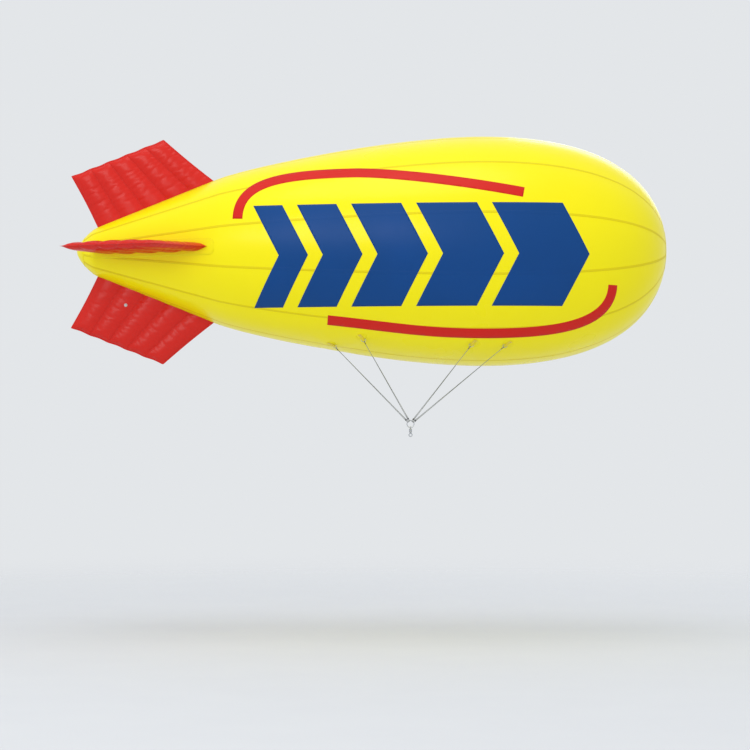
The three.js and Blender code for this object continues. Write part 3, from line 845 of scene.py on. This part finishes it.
def two_sheets(rows, columns):
    """Faces of two equal grids, joined round their border."""
    other = rows * columns
    at = np.arange(other).reshape(rows, columns)
    border = np.concatenate([at[0, :-1], at[:-1, -1], at[-1, :0:-1], at[:0:-1, 0]])
    ahead = np.roll(border, -1)
    sheet = grid_faces(rows, columns)[:, [0, 3, 2, 1]]
    return np.vstack([sheet, sheet + other, np.stack([border, ahead, ahead + other, border + other], -1)])


print("fin grid:", fin_grid()[1].shape)

# %% [markdown]
# The formulas give a smooth panel, but blown film wrinkles. It is cut a little larger than the space
# between its welds, and the spare film folds up across each tube. Painted bumps would look the same
# everywhere, so a cloth simulation finds the folds. The film is let out by a small share, the welds are
# pinned, and gas pushes from inside. A faint random nudge tells it where to buckle. No point may move
# far from its formula's place, and the two sheets may not pass through each other.

# %% Blown film
SPARE_FILM = 0.018
MOST_MOVE, NUDGE = 12 * MM, 0.8 * MM
BLOW_FRAMES = 22
FILM_SETTINGS = dict(
    quality=5, mass=0.15, air_damping=3, tension_stiffness=25, compression_stiffness=25,
    shear_stiffness=12, bending_stiffness=0.3, tension_damping=8, compression_damping=8,
    shear_damping=8, bending_damping=0.5, use_pressure=True, uniform_pressure_force=25,
    shrink_min=-SPARE_FILM, vertex_group_mass="welds")


def blown(panel, held, seed):
    """The panel after its film has settled under gas pressure."""
    start = np.array([v.co for v in panel.data.vertices])
    panel.vertex_groups.new(name="welds").add(np.nonzero(held)[0].tolist(), 1.0, "REPLACE")
    nudged = start.copy()
    nudged[~held, 1] += np.random.default_rng(seed).normal(0, NUDGE, np.count_nonzero(~held))
    panel.data.vertices.foreach_set("co", nudged.ravel())
    simulation = panel.modifiers.new("blown_film", "CLOTH")
    for key, value in FILM_SETTINGS.items():
        setattr(simulation.settings, key, value)
    simulation.settings.effector_weights.gravity = 0
    simulation.collision_settings.use_collision = False
    simulation.point_cache.frame_start, simulation.point_cache.frame_end = 1, BLOW_FRAMES
    for step in range(1, BLOW_FRAMES + 1):
        bpy.context.scene.frame_set(step)
    result = settled(panel)
    bpy.context.scene.frame_set(1)

    moved = np.array([v.co for v in result.data.vertices]) - start
    far = np.linalg.norm(moved, axis=1)
    spots = start + moved * np.minimum(1, MOST_MOVE / np.maximum(far, 1e-9))[:, None]
    sheet = np.sign(start[:, 1])
    spots[:, 1] = sheet * np.maximum(sheet * spots[:, 1], FIN_RIM)
    result.data.vertices.foreach_set("co", spots.ravel())
    print(f"film moved {far.mean() / MM:.1f} mm on average, {far.max() / MM:.1f} mm at most")
    return result


def fin_panel(name, seed):
    spots, half, weld_distance, held = fin_grid()
    vertices = np.concatenate([
        np.stack([spots[..., 0], sheet * half, spots[..., 1]], axis=-1).reshape(-1, 3) for sheet in (1, -1)])
    panel = outward(mesh_object(name, vertices, two_sheets(*half.shape), red_film))
    keep(panel, "edge", np.tile(weld_distance.ravel(), 2))
    panel = blown(panel, np.tile(held.ravel(), 2), seed)
    finer = panel.modifiers.new("finer", "SUBSURF")
    finer.levels = finer.render_levels = 1
    return settled(panel)


# %% [markdown]
# Valves, barrel and spindle are lathe pieces. Each is a profile of radius and height in millimetres,
# its corners eased with small arcs, spun about an axis and closed where it meets that axis.

# %% Helpers for turned pieces
def eased(profile, radius, steps=4):
    """Rounds the corners of a profile in millimetres and gives it in metres. The two ends stay."""
    points_in = [Vector(p) * MM for p in profile]
    result = [points_in[0]]
    for before, corner, after in zip(points_in, points_in[1:], points_in[2:]):
        back, ahead = before - corner, after - corner
        cut = min(radius * MM, back.length * 0.45, ahead.length * 0.45)
        a, b = corner + back.normalized() * cut, corner + ahead.normalized() * cut
        result += [(1 - t) ** 2 * a + 2 * t * (1 - t) * corner + t ** 2 * b
                   for t in (k / steps for k in range(steps + 1))]
    return result + [points_in[-1]]


def lathe_frame(foot, axis):
    """Places a lathe's own axes in space, with Z along the axis and the origin at foot."""
    up = Vector(axis).normalized()
    side = up.orthogonal().normalized()
    return Matrix.Translation(foot) @ Matrix((side, up.cross(side), up)).transposed().to_4x4()


def turned(name, profile, ease, material, foot, axis, sides):
    set_up, profile = lathe_frame(foot, axis), eased(profile, ease)
    vertices = [set_up @ p for radius, height in profile
                for p in hoop(UP * height, EAST, NORTH, radius, sides)]
    faces = grid_faces(len(profile), sides, round_columns=True)
    return outward(mesh_object(name, vertices, faces, material), merge=2e-5)


# %% [markdown]
# Each fin stands on a skirt, a second layer of the hull's film welded down over the fin's foot. A
# small push valve near the root lets the fin be topped up. Valve and skirt are made for the upright
# fin, then everything is turned about the long axis to the other three places.

# %% Fins with skirts and valves
FIN_TURNS = {"top": 0, "port": -90, "bottom": 180, "starboard": 90}
SKIRT_AFT, SKIRT_FORE, SKIRT_HALF, SKIRT_CORNER = -3.372, -2.068, 0.085, 0.060
FIN_VALVE_X, FIN_VALVE_Z = -3.03, 0.545
FIN_VALVE_PROFILE = [(0, -4), (17, -4), (17, 1.6), (11, 2.4), (10, 7), (5, 7.5), (4.2, 6), (0, 6)]


def rounded_outline(left, right, half, corner):
    centres = [(right - corner, half - corner), (left + corner, half - corner),
               (left + corner, corner - half), (right - corner, corner - half)]
    return [p for k, centre in enumerate(np.array(centres))
            for p in arc(centre, *FLAT, corner, 90 * k, 90 * k + 90, 8)]


for place, degrees in FIN_TURNS.items():
    spin = Matrix.Rotation(math.radians(degrees), 4, "X")
    panel = fin_panel(f"fin_panel_{place}", seed=20 + abs(degrees))
    foot, normal, _, _ = surface_of(panel).ray_cast(Vector((FIN_VALVE_X, 1, FIN_VALVE_Z)), -NORTH)
    valve = turned(f"fin_valve_{place}", FIN_VALVE_PROFILE, 0.8, cap_plastic, foot, normal, 32)
    for obj in (panel, valve):
        obj.data.transform(spin)
    skirt = laid(f"fin_skirt_{place}", rounded_outline(SKIRT_AFT, SKIRT_FORE, SKIRT_HALF, SKIRT_CORNER),
                 lambda a, b: spin @ Vector((a, b, 0)), spin @ -UP, doubler_film,
                 rise=1.6 * MM, thickness=1.2 * MM, grid=14 * MM)
    piece(panel, "red_film", f"fin_{place}")
    piece(skirt, "yellow_film", f"fin_{place}")
    piece(valve, "valve_plastic")
print("fin:", triangles(panel), "triangles each")

# %% [markdown]
# Bars and cords follow a path, so one Geometry Nodes tree sweeps them all. The source is a chain of
# edges, open or closed, whose `swell` attribute widens the section from place to place. The tree also
# stores the `lay` attribute that the braid pattern reads.

# %% Bars and cords
def swept_bar(node, given):
    run = node("CaptureAttribute", node("MeshToCurve", given["Geometry"]))
    run.capture_items.new("FLOAT", "Length")
    wire(run.inputs["Length"], node("SplineParameter").outputs["Length"])
    side = node("CaptureAttribute", node("CurvePrimitiveCircle", given["Sides"], 1.0))
    side.capture_items.new("VECTOR", "Place")
    wire(side.inputs["Place"], node("InputPosition"))
    section = node("Transform", side, Scale=given["Radius"])
    swell = node("InputNamedAttribute", "swell", data_type="FLOAT")
    swept = node("CurveToMesh", run, section, swell, True)
    x, y, _ = node("SeparateXYZ", side.outputs["Place"]).outputs
    lay = node("CombineXYZ", x, y, run.outputs["Length"])
    return node("StoreNamedAttribute", swept, Name="lay", Value=lay, data_type="FLOAT_VECTOR")


def bar(name, path, radius, material, sides=16, closed=False, swell=1.0):
    source = chain(name, path, closed)
    keep(source, "swell", np.full(len(path), swell, float))
    return outward(grown(source, swept_bar, Radius=radius, Sides=sides, Material=material))


# %% [markdown]
# The bridle ring is a welded ring of 8 mm stainless rod. The weld is ground back, yet a slight swelling
# stays, and it sits at the side where no cord rubs on it.

# %% Bridle ring
RING_RADIUS, RING_BAR, RING_STEPS = 0.036, 4 * MM, 96
WELD_SWELL, WELD_SPREAD = 0.09, 5

from_weld = np.linspace(0, 360, RING_STEPS, endpoint=False) - 180
swell = 1 + WELD_SWELL * np.exp(-(from_weld / WELD_SPREAD) ** 2)
ring_line = hoop(ring_centre, EAST, UP, RING_RADIUS, RING_STEPS)
ring = bar("bridle_ring_rod", ring_line, RING_BAR, polished_rod, 20, closed=True, swell=swell)
piece(ring, "steel", "bridle_ring")
print("ring:", triangles(ring), "triangles")

# %% [markdown]
# Each bridle leg is a braided cord with a spliced eye at both ends. The upper eye runs through the
# D-ring of a load patch, the lower one round the bridle ring. The lift holds every leg straight. A
# few numbers fix the route: the patch, the place on the ring, and the size of both eyes.

# %% Routes of the bridle legs
CORD_RADIUS, EYE_GAP, EYE_PITCH = 2.5 * MM, 0.8 * MM, 12.5
BAR_OUT, BAR_HEIGHT = 32 * MM, 9 * MM
D_BAR, D_HALF_WIDTH, D_CORNER = 2.5 * MM, 24 * MM, 6 * MM
UPPER_EYE = D_BAR + CORD_RADIUS + EYE_GAP
LOWER_EYE = RING_BAR + CORD_RADIUS + EYE_GAP
UPPER_THROAT, LOWER_THROAT = 19 * MM, 24 * MM


def bridle_route(name):
    """Directions and places of one leg, worked out as the CAD source does."""
    side_name, number = name.rsplit("_", 1)
    side, (_, _, ring_angle) = SIDES[side_name], STATIONS[int(number) - 1]
    seat, normal = load_points[name]
    on_ring = math.radians(ring_angle + side * EYE_PITCH / 2)
    ring_way = Vector((math.cos(on_ring), 0, -math.sin(on_ring)))
    on_bar = ring_centre + Vector((math.sin(on_ring), 0, math.cos(on_ring))) * RING_RADIUS
    rise = seat - on_bar
    back = (rise - ring_way * rise.dot(ring_way)).normalized()
    foot = on_bar + back * LOWER_EYE
    pull = foot - seat
    along = (pull - normal * pull.dot(normal)).normalized()
    across = normal.cross(along)
    bar_centre = seat + along * BAR_OUT + normal * BAR_HEIGHT
    line = (foot - bar_centre).normalized()
    return SimpleNamespace(
        seat=seat, normal=normal, along=along, across=across, bar_centre=bar_centre, line=line,
        on_bar=on_bar, back=back, ring_way=ring_way, foot=foot,
        bow_end=bar_centre + line * (D_CORNER + D_HALF_WIDTH))


def on_patch(route, along, across, height=0.0):
    """A point near a load patch: towards the pull, aside, and above the hull."""
    return route.seat + route.along * along + route.across * across + route.normal * height


routes = {name: bridle_route(name) for name in load_points}
lengths = [(r.foot - r.bow_end).length for r in routes.values()]
print("legs:", [round(v, 3) for v in lengths[:4]], "m")

# %% [markdown]
# A load patch is a disc of film welded to the hull, and a short webbing loop sewn down on it. The
# loop runs round the straight bar of the D-ring and back. Two ends of webbing lie one on the other, and
# a box of stitches with a cross through it ties them together.

# %% Patch discs and webbing loops
PATCH_RADIUS, PATCH_TOP = 54 * MM, 2.0 * MM
STRAP_WIDTH, STRAP_THICKNESS, STRAP_COLUMNS = 34 * MM, 1.3 * MM, 8
BAR_PLAY = 0.3 * MM
# The strap's middle line towards the pull and above the hull, in millimetres: under the bar, and back.
STRAP_LOW = np.array([(-45, 2.1), (-20, 2.75), (4, 2.8), (20, 4.0)]) * MM
STRAP_HIGH = np.array([(17, 7.6), (4, 4.7), (-20, 4.2), (-45, 3.5)]) * MM


def strap_path():
    bar_place, reach = np.array([BAR_OUT, BAR_HEIGHT]), D_BAR + BAR_PLAY + STRAP_THICKNESS / 2
    bend = arc(bar_place, *FLAT, reach, -80, 105, 11)
    path = [Vector(p) for p in [*STRAP_LOW, *bend, *STRAP_HIGH]]
    for _ in range(2):
        cut = [p for a, b in zip(path, path[1:]) for p in (a * 0.75 + b * 0.25, a * 0.25 + b * 0.75)]
        path = [path[0], *cut, path[-1]]
    return path


def webbing_loop(name, path, route):
    """A flat strap along a path in the plane of a leg's pull and normal."""
    run = np.concatenate([[0], np.cumsum([(b - a).length for a, b in zip(path, path[1:])])])
    asides = (np.arange(STRAP_COLUMNS + 1) / STRAP_COLUMNS - 0.5) * STRAP_WIDTH
    strap = mesh_object(name, [on_patch(route, p.x, aside, p.y) for p in path for aside in asides],
                        grid_faces(len(path), len(asides)), woven_webbing)
    keep(strap, "lay", [(aside, length, 0) for length in run for aside in asides])
    return thickened(strap, STRAP_THICKNESS, offset=0.0)


for name, route in routes.items():
    disc = laid(f"load_disc_{name}", hoop(0, *FLAT, PATCH_RADIUS, 48), lambda a, b: on_patch(route, a, b),
                -route.normal, doubler_film, rise=PATCH_TOP, thickness=1.7 * MM, grid=12 * MM)
    piece(disc, "yellow_film", f"load_patch_{name}")
    strap = webbing_loop(f"load_strap_{name}", strap_path(), route)
    piece(strap, "webbing", f"load_patch_{name}")
print("strap:", triangles(strap), "triangles each")

# %% [markdown]
# Stitches repeat along a path, so Geometry Nodes place them. The path is resampled at the stitch pitch,
# and a short rounded thread lies on each point along the path's direction.

# %% Stitches
STITCH_PITCH, STITCH_LENGTH, THREAD_RADIUS = 3.6 * MM, 2.7 * MM, 0.5 * MM
STITCH_TOP = PATCH_TOP + 2.9 * MM
BOX_LEFT, BOX_RIGHT, BOX_HALF = -40 * MM, -6 * MM, 13 * MM
BOX_LINES = [(0, 1), (1, 2), (2, 3), (3, 0), (0, 2), (1, 3)]
LINE_STEPS = 8
HULL_WIDTH_THERE = 2.2


def row_of_stitches(node, given):
    path = node("MeshToCurve", given["Geometry"])
    steps = node("ResampleCurve", path, Length=given["Pitch"], mode="LENGTH")
    ahead = node("AlignRotationToVector", Vector=node("InputTangent"), axis="X")
    size = node("CombineXYZ", node("*", given["Length"], 0.5), given["Radius"], given["Radius"])
    thread = node("MeshUVSphere", 6, 4, 1.0)
    return node("InstanceOnPoints", steps, Instance=thread, Rotation=ahead, Scale=size)


def sewn_box(name, route):
    """A box with a cross through it on the flat part of the strap, which follows the hull's curve."""
    corners = [(BOX_LEFT, -BOX_HALF), (BOX_RIGHT, -BOX_HALF), (BOX_RIGHT, BOX_HALF), (BOX_LEFT, BOX_HALF)]
    lines = [np.linspace(corners[start], corners[end], LINE_STEPS + 1) for start, end in BOX_LINES]
    vertices = [on_patch(route, a, b, STITCH_TOP - (a * a + b * b) / HULL_WIDTH_THERE)
                for line in lines for a, b in line]
    edges = [(k, k + 1) for k in range(len(vertices) - 1) if (k + 1) % (LINE_STEPS + 1)]
    return mesh_object(name, vertices, edges=edges)


for name, route in routes.items():
    stitches = grown(sewn_box(f"load_stitches_{name}", route), row_of_stitches, Pitch=STITCH_PITCH,
                     Length=STITCH_LENGTH, Radius=THREAD_RADIUS, Material=bonded_thread)
    piece(outward(stitches), "cord")
print("stitches:", triangles(stitches), "triangles on each strap")

# %% [markdown]
# A D-ring is one bent rod: a straight bar for the webbing and a half-round bow for the cord. Its path
# is drawn in its own plane, then swept.

# %% D-rings
for name, route in routes.items():
    line, across, centre = route.line, route.across, route.bar_centre
    corner = centre + line * D_CORNER
    aside = across * (D_HALF_WIDTH - D_CORNER)
    path = arc(corner - aside, line, across, D_CORNER, 180, 270, 6)
    path += arc(corner, line, across, D_HALF_WIDTH, -90, 90, 28)[1:]
    path += arc(corner + aside, line, across, D_CORNER, 90, 180, 6)[1:]
    path += [centre + aside * t for t in (0.5, 0, -0.5)]
    piece(bar(f"d_ring_rod_{name}", path, D_BAR, polished_rod, 14, closed=True), "steel", f"d_ring_{name}")
print("D-rings:", len(routes))

# %% [markdown]
# The cord of a leg is swept straight from throat to throat. Near each throat it is thicker, because the
# tail of the splice is buried in it. Each eye is a drop-shaped loop round its bar.

# %% Legs and eyes
SPLICE, SPLICE_SWELL = 90 * MM, 0.28
IN_THROAT = 2 * MM


def drop_loop(centre, toward, aside, radius, throat):
    """A loop round a bar: from the throat, round the far side of the bar and back."""
    open_angle = math.degrees(math.acos(radius / throat))
    tip = centre + toward * throat
    return [tip, *arc(centre, toward, aside, radius, open_angle, 360 - open_angle, 26), tip]


ends = {}
for name, route in routes.items():
    line, back = route.line, route.back
    top = route.bow_end + line * (UPPER_THROAT - IN_THROAT)
    bottom = route.foot - line * (LOWER_THROAT - LOWER_EYE - IN_THROAT)
    run = (bottom - top).length
    spots = np.unique(np.concatenate([
        np.linspace(0, SPLICE, 7), np.linspace(SPLICE, run - SPLICE, 24), np.linspace(run - SPLICE, run, 7)]))
    swell = [1 + SPLICE_SWELL * max(0, 1 - min(s, run - s) / SPLICE) for s in spots]
    upper = drop_loop(route.bow_end, line, line.cross(route.across), UPPER_EYE, UPPER_THROAT)
    lower = drop_loop(route.on_bar, back, back.cross(route.ring_way), LOWER_EYE, LOWER_THROAT)
    cords = [bar(part, path, CORD_RADIUS, braided_cord, 12, swell=width) for part, path, width in (
        ("leg", [top + line * s for s in spots], swell), ("upper_eye", upper, 1), ("lower_eye", lower, 1))]
    leg = piece(joined(f"bridle_cord_{name}", cords), "cord", f"bridle_leg_{name}")
    ends[name] = top, bottom
print("leg:", triangles(leg), "triangles each")

# %% [markdown]
# A whipping is twine wound tightly round the cord. One Geometry Nodes tree makes the coil once and
# sets it at both throats of a leg, turned along the cord.

# %% Whippings
WHIPPING_TURNS, TWINE_RADIUS, WHIPPING_RADIUS = 14.0, 0.6 * MM, 3.7 * MM
WHIPPING_INSET = 3 * MM
TURN_PITCH, COIL_TAPER = 2.05, 0.93


def whipping(node, given):
    height = node("*", node("*", given["Turns"], given["Twine"]), TURN_PITCH)
    narrow = node("*", given["Radius"], COIL_TAPER)
    coil = node("CurveSpiral", 16, given["Turns"], given["Radius"], narrow, height)
    twine = node("CurveToMesh", coil, node("CurvePrimitiveCircle", 6, given["Twine"]), Fill_Caps=True)
    aim = node("InputNamedAttribute", "aim", data_type="FLOAT_VECTOR")
    ahead = node("AlignRotationToVector", Vector=aim, axis="Z")
    return node("InstanceOnPoints", given["Geometry"], Instance=twine, Rotation=ahead)


for name, (top, bottom) in ends.items():
    inset = routes[name].line * WHIPPING_INSET
    throats = mesh_object(f"whipping_{name}", [top - inset, bottom + inset])
    keep(throats, "aim", [inset, -inset])
    coils = grown(throats, whipping, Turns=WHIPPING_TURNS, Twine=TWINE_RADIUS,
                  Radius=WHIPPING_RADIUS, Material=waxed_twine)
    piece(outward(coils), "cord")
print("whipping:", triangles(coils), "triangles for each leg")

# %% [markdown]
# The swivel lets the balloon turn with the wind without twisting its bridle. Its barrel hangs from the
# ring by a small bow, and a headed spindle turns inside it. Only the collar and the eye of the spindle
# show. Both are turned pieces, so a profile spun about the upright axis makes them, with every edge
# eased. The eye is a flat round plate with a round hole, forged in one piece with its spindle.

# %% Swivel
EYE_Z, EYE_SIDES = -1.867, 64
BARREL_PROFILE = [
    (0, -1816), (10.3, -1816), (10.3, -1834), (6.3, -1834), (6.3, -1842), (13.8, -1842), (15, -1839.5),
    (15, -1833), (14.2, -1831.8), (14.2, -1830), (15, -1828.8), (15, -1808), (12.5, -1803.5), (9, -1802),
    (0, -1802)]
SPINDLE_PROFILE = [(0, -1818), (9.8, -1818), (9.8, -1833.7), (5.8, -1833.7), (5.8, -1844), (12, -1844),
                   (12, -1850), (8.5, -1853.5), (0, -1854.5)]
EYE_SECTION = [(11, 0), (11, 5), (21, 5), (21, -5), (11, -5), (11, 0)]

axis_foot = Vector((ring_centre.x, 0, 0))
barrel = turned("barrel", BARREL_PROFILE, 0.7, turned_steel, axis_foot, UP, 64)
bow = bar("bow", hoop(ring_centre - UP * RING_RADIUS, NORTH, UP, 2 * RING_BAR + EYE_GAP, 40),
          RING_BAR, polished_rod, 16, closed=True)
piece(joined("swivel_barrel_turned", [barrel, bow]), "steel", "swivel_barrel")

spindle = turned("spindle", SPINDLE_PROFILE, 0.6, turned_steel, axis_foot, UP, 48)
section = eased(EYE_SECTION, 3.2, 6)[:-1]
eye_centre = axis_foot + UP * EYE_Z
vertices = [eye_centre + way * radius + NORTH * aside
            for way in hoop(Vector(), UP, EAST, 1, EYE_SIDES) for radius, aside in section]
plate = mesh_object("plate", vertices, grid_faces(EYE_SIDES, len(section), True, True), polished_rod)
swivel = joined("swivel_eye_forged", [spindle, outward(plate)])
piece(swivel, "steel", "swivel_eye", body="tether_swivel")
print("swivel:", triangles(swivel), "triangles")

# %% [markdown]
# The fill valve is low on the port side, within reach when the balloon is held down. Its wide flange is
# welded in, a threaded neck stands on it, and a screw cap closes it. Ribs round the cap give a grip.
# They repeat round a circle, so Geometry Nodes place them.

# %% Fill valve
FLANGE_PROFILE = [(0, -10), (52, -10), (52, 1.8), (49, 4), (34, 4), (29, 6), (29, 16), (0, 16)]
CAP_PROFILE = [(0, 16.3), (34.4, 16.3), (34.8, 28.3), (31, 30.3), (26, 30.3), (24.5, 28.8), (0, 28.8)]
GRIP_COUNT, GRIP_CIRCLE, GRIP_HEIGHT, GRIP_RADIUS = 40, 34.7 * MM, 11 * MM, 1.3 * MM
GRIP_MIDDLE = 22.3 * MM


def grip_ribs(node, given):
    size = node("CombineXYZ", given["Rib"], given["Rib"], node("*", given["Height"], 0.5))
    rim = node("MeshCircle", given["Count"], given["Radius"])
    return node("InstanceOnPoints", rim, Instance=node("MeshUVSphere", 8, 6, 1.0), Scale=size)


flange = turned("fill_valve_body", FLANGE_PROFILE, 1.2, valve_plastic, valve_seat, valve_normal, 72)
screw_cap = turned("cap_body", CAP_PROFILE, 1.2, cap_plastic, valve_seat, valve_normal, 72)
grips = grown(mesh_object("grips", [(0, 0, 0)]), grip_ribs, Count=GRIP_COUNT, Radius=GRIP_CIRCLE,
              Height=GRIP_HEIGHT, Rib=GRIP_RADIUS, Material=cap_plastic)
grips.data.transform(lathe_frame(valve_seat + valve_normal * GRIP_MIDDLE, valve_normal))
piece(flange, "valve_plastic", "fill_valve")
piece(joined("fill_valve_screw_cap", [screw_cap, outward(grips)]), "valve_plastic", "fill_valve_cap")
print("fill valve at", [round(v, 3) for v in valve_seat])

# %% [markdown]
# The stage is a pale studio with a painted floor well below the balloon. The floor fades into the pale
# surroundings, so no edge and no horizon cuts through the picture.

# %% Floor
FLOOR_Z, FLOOR_RADIUS, FLOOR_FADE = -3.955, 40, (3.0, 17.0)

floor_paint, node, place = new_material("painted_floor_pale")
grain = node("TexNoise", place, 1 / 0.6, 4.0)
away = node("VectorMath", place, operation="LENGTH")
solid = node("MapRange", away, *FLOOR_FADE, 1, 0, interpolation_type="SMOOTHERSTEP")
finished(node, grain, ("#dfe1e4", "#dbdde1"), [(grain, 1, 0.2)], Roughness=0.85, Alpha=solid,
         Specular_IOR_Level=0.2)
floor = mesh_object("floor", hoop(UP * FLOOR_Z, EAST, NORTH, FLOOR_RADIUS, 64), [range(64)], floor_paint)
floor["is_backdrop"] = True
print("floor at", FLOOR_Z)

# %% [markdown]
# Film shows its shape by broad soft highlights. So three wide softboxes light the balloon, the strongest
# in front, and the pale surroundings fill the shadows.

# %% Light
PALE = "#eef1f4"
# Each softbox: its place, its width and its power in watts.
SOFTBOXES = {"overhead": ((-2, -5, 14), 10, 520), "front": ((-7, -16, 6), 9, 620),
             "back": ((6, 15, 7), 9, 350)}
LIT_SPOT = (-0.5, 0, 0)

world = bpy.data.worlds.new("pale_surroundings")
bpy.context.scene.world = world
world.use_nodes = True
background = world.node_tree.nodes["Background"].inputs
background["Color"].default_value, background["Strength"].default_value = linear(PALE), 0.9
bpy.context.scene.view_settings.view_transform = "Standard"
for name, (place, size, power) in SOFTBOXES.items():
    light = bpy.data.lights.new(name, "AREA")
    light.shape, light.size, light.energy = "DISK", size, power
    aimed(placed(name, light), place, LIT_SPOT)
print("lights:", len(SOFTBOXES))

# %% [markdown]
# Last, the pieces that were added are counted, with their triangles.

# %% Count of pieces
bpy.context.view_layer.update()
added = [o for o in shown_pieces() if o.type == "MESH" and o.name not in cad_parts]
print("pieces:", len(added), "triangles:", sum(triangles(o) for o in added))
